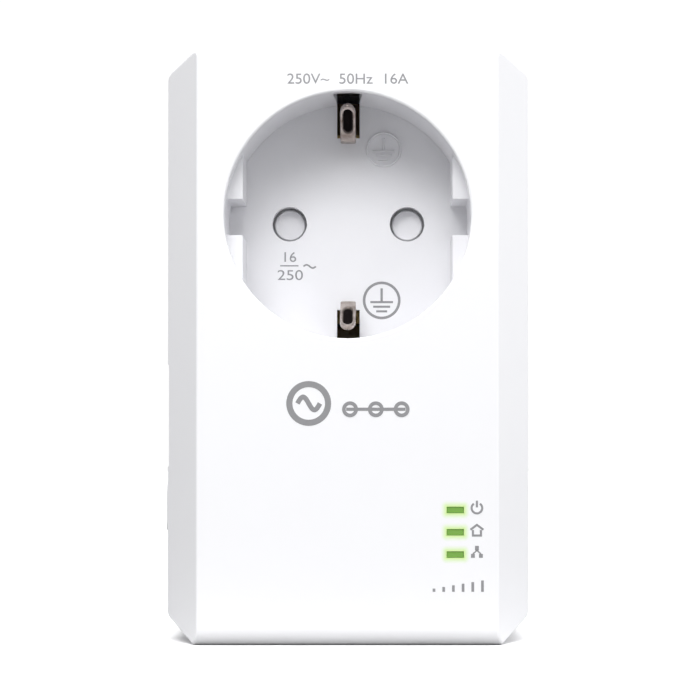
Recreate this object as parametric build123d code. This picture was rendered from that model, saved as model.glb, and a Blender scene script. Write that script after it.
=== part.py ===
from build123d import *
import math
import os

os.makedirs("parts", exist_ok=True)

# A powerline network adapter that plugs into an earthed wall outlet and carries an earthed outlet of
# its own on the front. X runs across, Y runs from the front (-Y) to the wall (+Y), Z is up.
# The origin is where the plug's axis meets the plane that rests against the wall.

# ---- housing: overall sizes ----
BODY_H = 92.4        # top to bottom
BODY_W = 57.5        # across the widest part
BODY_D = 41.0        # front face to wall plane
FACET_W = 5.35       # width of each sloping side facet, beside the flat front face
FACET_D = 12.0       # depth of each sloping side facet
AXIS_DROP = 25.6     # top of the housing down to the plug and socket axis
CUT_X = 4.9          # corner cuts, across
CUT_TOP = 2.3        # corner cuts at the top, down
CUT_FOOT = 4.0       # corner cuts at the bottom, up
CORNER_R = 1.6       # rounding where the corner cuts meet the sides
BROW_R = 0.9         # rounding from the front face into the top
CHIN_R = 2.5         # rounding from the front face into the bottom
EDGE_R = 0.45        # small rounding on the other outer edges
WALL = 2.0           # moulded wall of both covers
REAR_D = 13.0        # depth of the rear cover, wall plane to seam
TONGUE_T = 1.0       # tongue that keys the covers together
TONGUE_L = 2.0
SEAM_CUT = 0.25      # small bevel on both covers along their seam
MOUTH_R = 0.35       # rounding of the socket mouth
SNUG = 0.1           # gap between parts that seat in each other
TIGHT = 0.05         # gap between parts that turn or slide on each other
ROOT = 0.5           # depth posts and lands are rooted into the wall they stand on
PAST = 1.0           # how far a cut runs past the face it opens

# ---- mains sizes ----
PIN_PITCH = 19.0
PIN_R = 2.4
PIN_L = 19.0         # pin beyond the face of the plug
PIN_TIP_R = 1.6      # rounding of the pin's tip
NECK_R = 2.0         # neck of the pin where the moulding grips it
NECK_OUT = 0.3       # neck showing between the plug's face and the full pin
RIVET_R = 1.4        # end of the pin, riveted through the power board
PLUG_R = 18.4
PLUG_L = 17.5        # plug body beyond the wall plane
PLUG_FLAT = 16.1     # half width over the plug's side flats
PLUG_WALL = 2.2
PLUG_RIB = 2.2       # half width of the guide rib on each flat
FLANGE_T = 1.6       # flange of the plug inside the rear cover
FLANGE_OUT = 1.4     # flange beyond the plug's radius
PLUG_SCREW_AT = 15.6 # plug screws, from the axis in X and in Z
PLUG_EAR_R = 2.6
PLUG_EDGE = 0.8      # rounding round the face of the plug
PLUG_END = 3.0       # wall behind the face of the plug
PIN_BOSS = 1.8       # wall round each pin inside the plug
BED_DROP = 1.0       # beds for the earth strips, down from the plug's radius
BED_FROM = 1.0       # and from the wall plane out
BED_TO = 15.0
PIN_FLANGE_R = 3.4   # flange of each pin behind the plug's own
RIVET_HEAD_R = 2.0
RIVET_HEAD_H = 0.7
RECESS_R = 19.2
RECESS_D = 17.5
HOLE_R = 2.8         # entry holes for the pins of a plug
LAND_X = 16.45       # centre to the face of each side land
LAND_DROP = 4.0      # front face down to the top of the lands
CHANNEL_HALF = 2.85  # half width of the guide channel that splits each land

# ---- socket insert, shutter and contacts ----
INSERT_WALL = 2.0
FLOOR_T = 2.5
SLOT_HALF = 1.83     # half width of the earth clip slots
SLOT_IN = 13.9       # inner end of the slots
SLOT_DROP = 2.3      # front face down to the start of the slots
LEAD_W = 0.45        # tapered lead-in on both sides of each slot
LEAD_L = 11.0
LEAD_T = 0.8
EAR_AT = 17.5        # screw ears of the insert, from the axis in X and in Z
EAR_R = 2.5
EAR_T = 2.0
EAR_DROP = 4.0       # cover plate down to the ears
SHUTTER_PLATE = 1.5
SHUTTER_BOSS_R = 2.5
BOSS_CUT = 0.2       # bevel round the face of each shutter boss
SHUTTER_BOSS_H = 0.8
SHUTTER_ARM = 3.3    # half width of the arms
SHUTTER_HUB_R = 5.0
SHUTTER_TURN = 40.0  # degrees from shut to open
STOP_R = 1.0         # posts that stop the shutter at each end of its turn
STOP_AT = 11.0
PIVOT_R = 1.6
POST_HOLE = 1.4      # carrier screw holes, into the back of the cup floor
SPRING_R = 3.2       # mean radius of the shutter's return spring
SPRING_WIRE = 0.16   # wire radius
SPRING_TURNS = 2
SPRING_PITCH = 2.6   # pitch, as a multiple of the wire radius
SPRING_LEG = 2.0     # leg of the spring that sits in the shutter's notch
SPRING_HOOK = 0.8    # hook of the spring inside the carrier
SPRING_BED = 0.9     # back of the shutter down to the first turn
POCKET_DEEP = 1.1    # pocket for the spring in the shutter
POCKET_GAP = 0.45
NOTCH_L = 2.4
NOTCH_HALF = 0.25
CARRIER_T = 1.6
CARRIER_HALF_Z = 12.0
CARRIER_R = 4.0      # corners of the carrier
CHAMBER_R = 3.9
CHAMBER_WALL = 1.2
CONTACT_R = 2.35     # mouth of the sleeve contacts
CONTACT_T = 0.65
CONTACT_SLIT = 0.35  # half width of the slits
CONTACT_SOLID = 1.4  # unslit ring at the root of each contact
CONTACT_FLARE = 1.2  # depth of the flared mouth
FLARE_CUT = 0.2      # radius the flare loses at its narrow end
CLIP_W = 2.45
STRIP_T = 0.8        # sheet the earth parts are bent from
CLIP_NOSE = 12.7     # centre to the nose of each clip
CLIP_NOSE_UP = 3.5   # cup floor up to the nose of each clip
NOSE_LEAD = 1.2      # flat nose of each clip, towards the cup floor
NOSE_RUN = 1.0       # and towards the front
CLIP_TIP = 17.5
CLIP_TIP_DROP = 3.2
CLIP_ROOT = 14.9
BEAD_R = 0.55        # rolled root of each clip
BRIDGE_HALF = 3.0    # half width of the earth bridge
STRIP_W = 4.0        # earth strips on the plug
STRIP_IN = 15.2

# ---- boards, screws ----
BOARD_T = 1.6
BOARD_GAP = 1.2      # main board to the cover's side walls
SCREW_X = 23.5       # case screws, from the centre line
SCREW_TOP = 5.6      # case screws, from the top and bottom
BOSS_R = 2.6
REAR_BOSS_R = 3.4
SCREW_R = 1.45
SCREW_HEAD_R = 2.6
SCREW_HEAD_H = 1.8
SCREW_SINK = 7.0     # wall plane down to the seat of the heads
SCREW_L = 15.0
SMALL_R = 0.95       # small screws
SMALL_HEAD_R = 1.8
SMALL_HEAD_H = 1.3
HEAD_ROUND = 0.45    # rounding of a screw head, as a share of its height
CROSS_DEEP = 0.6     # driver cross, as a share of the head's height
CROSS_REACH = 0.55   # half length and half width of its arms, as shares of the head's radius
CROSS_ARM = 0.12
EAR_SCREW_L = 5.4    # lengths of the small screws
CARRIER_SCREW_L = 5.2
PLUG_SCREW_L = 2.7
BOARD_SCREW_L = 6.0
POWER_SCREW_L = 4.6
POST_R = 2.0
PEG_R = 0.8          # pegs that place the light pipe
VENT_ROWS = 7        # vents through the back, in two columns
VENT_PITCH = 3.6
VENT_LOW = 14.0      # bottom of the housing up to the first vent
VENT_X = 9.5
VENT_W = 15.0
VENT_H = 1.6

# ---- signal side ----
LED_X = 16.7
LED_Z = -45.8        # top window; the others follow downwards
LED_PITCH = 3.45
LED_W = 2.67
LED_H = 1.0
PIPE_HALF = 1.7      # half width of the bar that joins the light guides
PIPE_T = 1.4
PIPE_END = 1.4       # bar beyond each peg
PIPE_SINK = 0.12     # front face down to the ends of the guides
PIPE_GAP = 0.9       # guides to the board
LAMP_HALF = (1.0, 0.6)       # half sizes of each lamp chip, and its thickness
LAMP_T = 0.7
JACK_Z = -31.0
JACK_W = 16.0
JACK_H = 13.4
JACK_L = 17.0
JACK_SKIN = 0.3
PORT_W = 11.8
PORT_H = 7.8
PORT_L = 12.0        # depth of the port
PORT_UP = 1.7        # board side of the jack up to the port
LATCH_WIDE = (3.1, 1.6)      # steps above the port for a plug's latch: half width and height
LATCH_SLIM = (1.9, 2.6)
WIRE_BITE = 0.3      # port floor up to the tips of the spring wires
BUTTON_Z = -45.5
BUTTON_Y_IN = 2.7    # side facet to the middle of the button
BUTTON_W = 8.0
BUTTON_H = 3.4
BUTTON_PROUD = 0.3
BUTTON_TRAVEL = 0.5
STEM_R = 1.1         # stem of the button
SWITCH_IN = 7.6      # side of the housing to the face of the switch
SWITCH_L = 3.4
PLUNGER_OUT = 1.2    # plunger in front of the switch
PLUNGER_IN = 0.6
PLUNGER_Y = 0.6      # half sizes of the plunger
PLUNGER_Z = 1.4
SWITCH_HALF = 3.0    # half height of the switch
SWITCH_OVER = 1.4    # middle of the button back to the switch's back
FLANGE_OVER = 1.0    # flange of the button beyond its cap
FLANGE_LIP = 0.4
WIRES = 8            # spring wires of the jack
WIRE_PITCH = 1.02
WIRE_T = 0.3

# ---- components: centre x and z, width, height up the board, and how far each stands off it ----
MAIN_CHIP = (7.0, -38.0, 12.0, 12.0, 1.2)
MEMORY_CHIP = (-3.5, -55.0, 10.0, 6.0, 1.1)
ETHERNET_CHIP = (-13.5, -44.0, 6.0, 6.0, 0.9)
MAGNETICS = (-6.0, -34.5, 7.0, 12.7, 3.6)
CRYSTAL = (17.5, -49.5, 5.0, 3.2, 1.1)
COUPLER = (8.0, -52.5, 8.0, 8.0, 6.0)
X_CAPACITOR = (4.0, -31.0, 15.0, 6.6, 12.0)
FUSE = (18.8, -31.6, 8.0, 4.4, 7.6)
RECTIFIER = (-17.0, -54.0, 8.0, 6.0, 3.0)
FLYBACK_CORE = (10.0, -50.0, 15.0, 5.0, 13.6)
BOBBIN_CHEEK = (10.0, -50.0, 12.4, 15.0, 1.6)
WINDING = (10.0, -50.0, 11.0, 13.0, 10.4)
CHOKE_BASE = (-15.2, -35.0, 11.6, 11.6, 2.2)
CHOKE_RING = (3.9, 2.0)      # mean radius and wire radius of the wound ring
VARISTOR = (-17.0, -45.0, 5.0, 3.6)     # centre x and z, radius and thickness
VARISTOR_UP = 6.6            # board to the middle of the varistor
LEG_AT = 2.5                 # varistor's legs, either side of its middle
CAN_GROOVE = (1.6, 2.2, 0.3)         # rolled groove: from and to above the board, and depth
BULK_CAN = (5.0, 13.5)       # radius and height
BULK_PLACES = [(-4.0, -43.5), (-4.0, -54.5)]
OUTPUT_CAN = (3.1, 11.0)
OUTPUT_PLACES = [(6.5, -38.0), (13.5, -38.0)]
SINK_SIDE = 14.0             # heat sink on the main chip
SINK_BASE = 1.4
SINK_TALL = 6.0
FINS = 6
FIN_T = 1.2
HEADER = (19.3, 21.8, -46.0, -37.0)      # edges of the header between the boards, in X and in Z
HEADER_LOW = 2.5             # power side of the header
HEADER_HIGH = 8.5            # main side of the header
PINS = 4
HEADER_PITCH = 2.54
HEADER_PIN = 0.6
CHIP_PART = (1.6, 0.8, 0.5)  # small resistors and capacitors: width, height and thickness

# ---- places that follow from the sizes above ----
SIDE = BODY_W / 2
TOP = AXIS_DROP
FOOT = AXIS_DROP - BODY_H
FRONT = -BODY_D
FACE_W = BODY_W - 2 * FACET_W
PLATE_BACK = FRONT + WALL
FACET_BACK = FRONT + FACET_D
SEAM = -REAR_D
FLOOR_FRONT = FRONT + RECESS_D
FLOOR_BACK = FLOOR_FRONT + FLOOR_T
INSERT_R = RECESS_R + INSERT_WALL
PIN_X = PIN_PITCH / 2
SHUTTER_FACE = FLOOR_BACK + SNUG + SHUTTER_BOSS_H
SHUTTER_BACK = SHUTTER_FACE + SHUTTER_PLATE
CARRIER_FRONT = SHUTTER_BACK + 2 * SNUG
CARRIER_BACK = CARRIER_FRONT + CARRIER_T
FLANGE_FRONT = -WALL - FLANGE_T
POWER_BACK = FLANGE_FRONT - 2.0
POWER_FRONT = POWER_BACK - BOARD_T
CONTACT_BACK = POWER_FRONT
CONTACT_BASE = CONTACT_BACK - STRIP_T
BRIDGE_BACK = POWER_FRONT - 5.3
BRIDGE_FRONT = BRIDGE_BACK - STRIP_T
MAIN_BACK = FACET_BACK - 0.4
MAIN_FRONT = MAIN_BACK - BOARD_T
MAIN_TOP = -(INSERT_R + 0.8)
CASE_SCREWS = [(x, z) for x in (-SCREW_X, SCREW_X) for z in (TOP - SCREW_TOP, FOOT + SCREW_TOP)]
EARS = [(x, z) for x in (-EAR_AT, EAR_AT) for z in (-EAR_AT, EAR_AT)]
LED_ROWS = [LED_Z - n * LED_PITCH for n in range(3)]
PEG_ROWS = [LED_Z + 2.6, LED_Z - 2 * LED_PITCH - 2.6]
MAIN_POSTS = [(SIDE - 7.75, MAIN_TOP - 3.5), (-7.0, MAIN_TOP - 3.5)]
MAIN_POSTS += [(8.25 - SIDE, FOOT + 13.9), (12.0, FOOT + 7.4)]
POWER_POSTS = [(x, -27.0) for x in (7.25 - SIDE, SIDE - 7.25)]
POWER_POSTS += [(x, FOOT + 6.4) for x in (-17.0, 17.0)]
PLUG_SCREWS = [(x, z) for x in (-PLUG_SCREW_AT, PLUG_SCREW_AT) for z in (-PLUG_SCREW_AT, PLUG_SCREW_AT)]
JACK_FRONT = MAIN_BACK + SNUG
JACK_OUT = -SIDE + 0.45
BUTTON_Y = FACET_BACK + BUTTON_Y_IN
SWITCH_X = -SIDE + SWITCH_IN
SINK_FRONT = MAIN_BACK + MAIN_CHIP[4]


def block(x0, x1, y0, y1, z0, z1):
    """A square-edged block between two limits on each axis."""
    return Pos((x0 + x1) / 2, (y0 + y1) / 2, (z0 + z1) / 2) * Box(x1 - x0, y1 - y0, z1 - z0)


def rod_y(x, z, r, y0, y1):
    """A round bar along the depth of the adapter."""
    return Pos(x, (y0 + y1) / 2, z) * Rot(90, 0, 0) * Cylinder(r, y1 - y0)


def rod_x(y, z, r, x0, x1):
    """A round bar across the adapter."""
    return Pos((x0 + x1) / 2, y, z) * Rot(0, 90, 0) * Cylinder(r, x1 - x0)


def slab(outline, y0, y1):
    """An outline drawn in X and Z, made solid between two depths."""
    plane = Plane(origin=(0, y1, 0), x_dir=(1, 0, 0), z_dir=(0, -1, 0))
    return extrude(plane * outline, amount=y1 - y0, dir=(0, -1, 0))


def ribbon(points, thick, width):
    """Sheet of even thickness bent in the Y-Z plane along points, width across X, centred on X = 0."""
    left = []
    right = []
    for n, (y, z) in enumerate(points):
        y_in, z_in = points[max(n - 1, 0)]
        y_out, z_out = points[min(n + 1, len(points) - 1)]
        into = Vector(y - y_in, z - z_in) if n > 0 else Vector(y_out - y, z_out - z)
        out = Vector(y_out - y, z_out - z) if n < len(points) - 1 else into
        side_in = Vector(-into.Y, into.X).normalized()
        side_out = Vector(-out.Y, out.X).normalized()
        mid = (side_in + side_out).normalized()
        reach = thick / 2 / mid.dot(side_in)
        left.append((y + mid.X * reach, z + mid.Y * reach))
        right.append((y - mid.X * reach, z - mid.Y * reach))
    face = make_face(Polyline(*(left + right[::-1]), close=True))
    plane = Plane(origin=(-width / 2, 0, 0), x_dir=(0, 1, 0), z_dir=(1, 0, 0))
    return extrude(plane * face, amount=width, dir=(1, 0, 0))


def envelope(inset, y0, y1):
    """The housing's outer shape shrunk evenly by inset, between two depths."""
    octagon = [
        (SIDE, TOP - CUT_TOP), (SIDE - CUT_X, TOP), (CUT_X - SIDE, TOP), (-SIDE, TOP - CUT_TOP),
        (-SIDE, FOOT + CUT_FOOT), (CUT_X - SIDE, FOOT), (SIDE - CUT_X, FOOT), (SIDE, FOOT + CUT_FOOT),
    ]
    plan = [
        (-SIDE, BODY_D), (-SIDE, FACET_BACK), (-FACE_W / 2, FRONT),
        (FACE_W / 2, FRONT), (SIDE, FACET_BACK), (SIDE, BODY_D),
    ]
    outline = make_face(Polyline(*octagon, close=True))
    above = make_face(Polyline(*plan, close=True))
    if inset > 0:
        outline = offset(outline, amount=-inset, kind=Kind.INTERSECTION)
        above = offset(above, amount=-inset, kind=Kind.INTERSECTION)
    if CORNER_R > inset:
        outline = fillet([v for v in outline.vertices() if abs(v.X) > SIDE - inset - 0.01], CORNER_R - inset)
    solid = slab(outline, y0, y1)
    solid = solid & extrude(Plane.XY.offset(FOOT) * above, amount=BODY_H, dir=(0, 0, 1))
    brow = block(-SIDE, SIDE, FRONT + inset, BODY_D, FOOT + inset, TOP - inset)
    for radius, place in ((CHIN_R, 0), (BROW_R, -1)):
        if radius > inset:
            edge = brow.edges().filter_by(Axis.X).group_by(Axis.Y)[0].sort_by(Axis.Z)[place]
            brow = fillet(edge, radius - inset)
    return solid & brow


def screw(x, z, y_seat, towards, shank_r, length, head_r, head_h):
    """A pan-head cross-recess screw along Y; towards is the way its point faces."""
    tip = y_seat + towards * length
    head = y_seat - towards * head_h
    body = rod_y(x, z, shank_r, min(y_seat, tip), max(y_seat, tip))
    cap = rod_y(x, z, head_r, min(y_seat, head), max(y_seat, head))
    top = cap.faces().sort_by(Axis.Y)[0 if towards > 0 else -1]
    cap = fillet(top.edges(), head_h * HEAD_ROUND)
    deep = head_h * CROSS_DEEP
    low = min(head, head + towards * deep)
    reach = head_r * CROSS_REACH
    arm = head_r * CROSS_ARM
    cross = block(x - reach, x + reach, low, low + deep, z - arm, z + arm)
    cross = cross + block(x - arm, x + arm, low, low + deep, z - reach, z + reach)
    return body + cap - cross


def rounded(solid, axis, radius):
    """The block with its edges along one axis rounded."""
    return fillet(solid.edges().filter_by(axis), radius)


def outer_edges(solid, y_open):
    """Outer edges to round: all but those on the open end."""
    return [e for e in solid.edges() if abs(e.center().Y - y_open) > 0.01]


# ---- front cover: deep moulded shell with the socket mouth, lamp windows, port and button openings ----
def front_cover():
    shell = envelope(0, FRONT, SEAM)
    shell = fillet(outer_edges(shell, SEAM), EDGE_R)
    shell = chamfer(shell.edges().group_by(Axis.Y)[-1], SEAM_CUT)
    shell = shell - envelope(WALL, PLATE_BACK, SEAM)
    inside = envelope(WALL / 2, FRONT, SEAM)
    bosses = [rod_y(x, z, BOSS_R, PLATE_BACK, SEAM) for x, z in CASE_SCREWS]
    bosses += [rod_y(x, z, EAR_R, PLATE_BACK, PLATE_BACK + EAR_DROP) for x, z in EARS]
    bosses += [rod_y(x, z, POST_R, PLATE_BACK, MAIN_FRONT) for x, z in MAIN_POSTS]
    for boss in bosses:
        shell = shell + (boss & inside)
    for z in PEG_ROWS:
        shell = shell + rod_y(LED_X, z, PEG_R, PLATE_BACK - 0.2, PLATE_BACK + 2.2)
    for x, z in CASE_SCREWS:
        shell = shell - rod_y(x, z, SCREW_R, -SCREW_SINK - SCREW_L - 1, SEAM)
    for x, z in EARS:
        shell = shell - rod_y(x, z, SMALL_R, PLATE_BACK + 0.3, PLATE_BACK + EAR_DROP)
    for x, z in MAIN_POSTS:
        shell = shell - rod_y(x, z, SMALL_R, MAIN_FRONT - 5.0, MAIN_FRONT)
    shell = shell - rod_y(0, 0, RECESS_R, FRONT - 1, PLATE_BACK + 1)
    mouth = [e for e in shell.edges().filter_by(GeomType.CIRCLE) if abs(e.radius - RECESS_R) < 0.01]
    shell = fillet([e for e in mouth if abs(e.center().Y - FRONT) < 0.01], MOUTH_R)
    for z in LED_ROWS:
        shell = shell - block(
            LED_X - LED_W / 2, LED_X + LED_W / 2, FRONT - 1, PLATE_BACK + 1, z - LED_H / 2, z + LED_H / 2
        )
    gap = 1.5 * SNUG
    port = block(
        -SIDE - 1, -SIDE + WALL + 1, JACK_FRONT - gap, JACK_FRONT + JACK_H + gap,
        JACK_Z - JACK_W / 2 - gap, JACK_Z + JACK_W / 2 + gap,
    )
    button = block(
        -SIDE - 1, -SIDE + WALL + 1, BUTTON_Y - BUTTON_H / 2 - gap, BUTTON_Y + BUTTON_H / 2 + gap,
        BUTTON_Z - BUTTON_W / 2 - gap, BUTTON_Z + BUTTON_W / 2 + gap,
    )
    return shell - port - rounded(button, Axis.X, BUTTON_H / 2)


# ---- rear cover: shallow shell against the wall, tongue into the front cover, vents, screw wells ----
def rear_cover():
    shell = envelope(0, SEAM, 0)
    shell = fillet(outer_edges(shell, SEAM), EDGE_R)
    shell = chamfer(shell.edges().group_by(Axis.Y)[0], SEAM_CUT)
    shell = shell - envelope(WALL, SEAM, -WALL)
    inner = WALL + SNUG + TONGUE_T
    collar = envelope(WALL - 0.5, SEAM, SEAM + TONGUE_L) - envelope(inner, SEAM, SEAM + TONGUE_L)
    tongue = envelope(WALL + SNUG, SEAM - TONGUE_L, SEAM) - envelope(inner, SEAM - TONGUE_L, SEAM)
    for x, z in CASE_SCREWS:
        tongue = tongue - rod_y(x, z, BOSS_R + 3 * SNUG, SEAM - TONGUE_L, SEAM)
    shell = shell + collar + tongue
    inside = envelope(WALL / 2, SEAM, 0)
    for x, z in CASE_SCREWS:
        shell = shell + (rod_y(x, z, REAR_BOSS_R, SEAM, -WALL / 2) & inside)
    for x, z in POWER_POSTS:
        shell = shell + rod_y(x, z, POST_R, POWER_BACK, -WALL / 2)
    for x, z in CASE_SCREWS:
        shell = shell - rod_y(x, z, SCREW_R + SNUG, SEAM, 0)
        shell = shell - rod_y(x, z, SCREW_HEAD_R + 2 * SNUG, -SCREW_SINK, 0)
    for x, z in POWER_POSTS:
        shell = shell - rod_y(x, z, SMALL_R, POWER_BACK, POWER_BACK + 3.2)
    shell = shell - rod_y(0, 0, PLUG_R + SNUG, -WALL - 1, 1)
    for x, z in PLUG_SCREWS:
        shell = shell - rod_y(x, z, SMALL_R, -WALL, -WALL + 1.2)
    for row in range(VENT_ROWS):
        z = FOOT + VENT_LOW + row * VENT_PITCH
        for x in (-VENT_X, VENT_X):
            vent = block(x - VENT_W / 2, x + VENT_W / 2, -WALL - 1, 1, z - VENT_H / 2, z + VENT_H / 2)
            shell = shell - rounded(vent, Axis.Y, VENT_H / 2 - 0.01)
    return shell


# ---- socket insert: the recessed cup a plug enters, with side lands, clip slots and pin holes ----
def socket_insert():
    cup = rod_y(0, 0, INSERT_R, PLATE_BACK, FLOOR_BACK) - rod_y(0, 0, RECESS_R, PLATE_BACK - 1, FLOOR_FRONT)
    round_in = rod_y(0, 0, RECESS_R + ROOT, FRONT + LAND_DROP, FLOOR_FRONT + ROOT)
    for side in (-1, 1):
        near = min(side * LAND_X, side * INSERT_R)
        far = near + INSERT_R - LAND_X
        land = block(near, far, FRONT + LAND_DROP, FLOOR_FRONT + ROOT, -RECESS_R, RECESS_R)
        land = land & round_in
        channel = block(
            near - 1, near + INSERT_R, FRONT, FLOOR_FRONT, -CHANNEL_HALF, CHANNEL_HALF
        ) & rod_y(0, 0, RECESS_R, FRONT, FLOOR_FRONT)
        cup = cup + land - channel
    for side in (-1, 1):
        mid = side * (SLOT_IN + INSERT_R + 1) / 2
        half = (INSERT_R + 1 - SLOT_IN) / 2
        cup = cup - block(
            -SLOT_HALF, SLOT_HALF, FRONT + SLOT_DROP, FLOOR_BACK + 1, mid - half, mid + half
        )
        wide = SLOT_HALF + LEAD_W
        start = FRONT + SLOT_DROP
        end = start + LEAD_L
        wedge = [(-wide, start), (wide, start), (SLOT_HALF, end), (-SLOT_HALF, end)]
        cup = cup - extrude(
            Plane.XY.offset(side * (RECESS_R + LEAD_T)) * make_face(Polyline(*wedge, close=True)),
            amount=LEAD_T + 1, dir=(0, 0, -side),
        )
    for x, z in EARS:
        ear = rod_y(x, z, EAR_R, PLATE_BACK + EAR_DROP, PLATE_BACK + EAR_DROP + EAR_T)
        arm_x = x - math.copysign(EAR_R, x) / 2
        arm_z = z - math.copysign(EAR_R, z) / 2
        arm = Pos(arm_x, PLATE_BACK + EAR_DROP + EAR_T / 2, arm_z) * Rot(
            0, 45 * math.copysign(1, x * z), 0
        ) * Box(2 * EAR_R, EAR_T, 2 * EAR_R)
        inner = rod_y(0, 0, RECESS_R + ROOT, FRONT, FLOOR_BACK)
        cup = cup + ((ear + arm) - inner)
        cup = cup - rod_y(x, z, SMALL_R + SNUG, PLATE_BACK, FLOOR_BACK)
    for x in (-PIN_X, PIN_X):
        cup = cup - rod_y(x, 0, HOLE_R, FLOOR_FRONT - 1, FLOOR_BACK + 1)
    for z in (-PIN_X, PIN_X):
        cup = cup + rod_y(0, z, POST_R, FLOOR_BACK - ROOT, CARRIER_FRONT)
        cup = cup - rod_y(0, z, SMALL_R, FLOOR_BACK - POST_HOLE, CARRIER_FRONT)
    cup = cup + rod_y(0, 0, PIVOT_R, FLOOR_BACK - ROOT, CARRIER_FRONT - SNUG)
    lean = math.asin((SHUTTER_ARM + STOP_R + SNUG) / STOP_AT)
    opened = math.radians(SHUTTER_TURN)
    for angle in (-lean, math.pi - lean, opened + lean, math.pi + opened + lean):
        x = STOP_AT * math.cos(angle)
        z = STOP_AT * math.sin(angle)
        cup = cup + rod_y(x, z, STOP_R, FLOOR_BACK - ROOT, CARRIER_FRONT - SNUG)
    return cup


# ---- shutter: turning plate that blanks both pin holes until both pins push it round ----
def shutter():
    arms = slab(SlotOverall(2 * (PIN_X + SHUTTER_ARM), 2 * SHUTTER_ARM), SHUTTER_FACE, SHUTTER_BACK)
    plate = arms + rod_y(0, 0, SHUTTER_HUB_R, SHUTTER_FACE, SHUTTER_BACK)
    for x in (-PIN_X, PIN_X):
        boss = rod_y(x, 0, SHUTTER_BOSS_R, SHUTTER_FACE - SHUTTER_BOSS_H, SHUTTER_FACE + 0.2)
        plate = plate + chamfer(boss.faces().sort_by(Axis.Y)[0].edges(), BOSS_CUT)
    plate = plate - rod_y(0, 0, PIVOT_R + TIGHT, SHUTTER_FACE - 1, SHUTTER_BACK + 1)
    pocket_in = SPRING_R - SPRING_WIRE - POCKET_GAP
    pocket_out = SPRING_R + SPRING_WIRE + POCKET_GAP
    bed = SHUTTER_BACK - POCKET_DEEP
    pocket = rod_y(0, 0, pocket_out, bed, SHUTTER_BACK) - rod_y(0, 0, pocket_in, bed, SHUTTER_BACK)
    notch = block(SPRING_R, SPRING_R + NOTCH_L, bed, SHUTTER_BACK, -NOTCH_HALF, NOTCH_HALF)
    return plate - pocket - notch


# ---- return spring of the shutter: two turns of wire, one leg in the shutter, one in the carrier ----
def shutter_spring():
    pitch = SPRING_PITCH * SPRING_WIRE
    path = Helix(pitch, SPRING_TURNS * pitch, SPRING_R)
    wire = sweep(Plane(origin=path @ 0, z_dir=path % 0) * Circle(SPRING_WIRE), path=path)
    leg_y = SHUTTER_BACK - SPRING_BED
    coil = Pos(0, leg_y, 0) * Rot(-90, 0, 0) * wire
    leg = rod_x(leg_y, 0, SPRING_WIRE, SPRING_R, SPRING_R + SPRING_LEG)
    hook = rod_y(SPRING_R, 0, SPRING_WIRE, leg_y + SPRING_TURNS * pitch, CARRIER_FRONT + SPRING_HOOK)
    return coil + leg + hook


# ---- contact carrier: insulating block behind the shutter that holds both sleeve contacts ----
def contact_carrier():
    half_x = PIN_X + CHAMBER_R + CHAMBER_WALL
    plate = block(-half_x, half_x, CARRIER_FRONT, CARRIER_BACK, -CARRIER_HALF_Z, CARRIER_HALF_Z)
    plate = rounded(plate, Axis.Y, CARRIER_R)
    for x in (-PIN_X, PIN_X):
        plate = plate + rod_y(x, 0, CHAMBER_R + CHAMBER_WALL, CARRIER_FRONT, CONTACT_BACK - 2 * STRIP_T)
    for x in (-PIN_X, PIN_X):
        plate = plate - rod_y(x, 0, CHAMBER_R, CARRIER_BACK, 0)
        plate = plate - rod_y(x, 0, HOLE_R, CARRIER_FRONT - 1, CARRIER_BACK + 1)
    for z in (-PIN_X, PIN_X):
        plate = plate - rod_y(0, z, SMALL_R + SNUG, CARRIER_FRONT - 1, CARRIER_BACK + 1)
    hook_end = CARRIER_FRONT + SPRING_HOOK + 2 * SNUG
    return plate - rod_y(SPRING_R, 0, SPRING_WIRE + TIGHT, CARRIER_FRONT, hook_end)


# ---- sleeve contact: rolled brass, slit four ways so that it grips a pin ----
def sleeve_contact(x):
    mouth = CARRIER_BACK + 2 * SNUG
    outer = CONTACT_R + CONTACT_T
    sleeve = rod_y(x, 0, outer, mouth, CONTACT_BASE) - rod_y(x, 0, CONTACT_R, mouth - PAST, CONTACT_BASE)
    flare = Cone(CONTACT_R - FLARE_CUT, outer - SNUG, CONTACT_FLARE)
    sleeve = sleeve - Pos(x, mouth + CONTACT_FLARE / 2, 0) * Rot(90, 0, 0) * flare
    root = CONTACT_BASE - CONTACT_SOLID
    clear = outer + PAST
    slit = CONTACT_SLIT
    sleeve = sleeve - block(x - clear, x + clear, mouth - PAST, root, -slit, slit)
    sleeve = sleeve - block(x - slit, x + slit, mouth - PAST, root, -clear, clear)
    base = rod_y(x, 0, CHAMBER_R - 2 * SNUG, CONTACT_BASE, CONTACT_BACK)
    return sleeve + base - rod_y(x, 0, RIVET_R, CONTACT_BASE - 1, CONTACT_BACK + 1)


# ---- earth clip: sprung strip with an inward nose that touches a plug's earth strip ----
def earth_clip(side):
    half = STRIP_T / 2
    root_y = CARRIER_FRONT - BEAD_R / 2
    nose_y = FLOOR_FRONT - CLIP_NOSE_UP
    path = [
        (root_y, CLIP_ROOT), (FLOOR_FRONT, CLIP_ROOT), (nose_y + NOSE_LEAD, CLIP_NOSE + half),
        (nose_y - NOSE_RUN, CLIP_NOSE + half), (FRONT + CLIP_TIP_DROP, CLIP_TIP),
    ]
    strip = ribbon(path, STRIP_T, CLIP_W)
    end = strip.faces().sort_by(Axis.Y)[0]
    strip = fillet(end.edges().sort_by(SortBy.LENGTH)[:2], CLIP_W / 2 - 0.02)
    strip = strip + rod_x(root_y, CLIP_ROOT, BEAD_R, -CLIP_W / 2, CLIP_W / 2)
    return strip if side > 0 else mirror(strip, about=Plane.XY)


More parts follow.
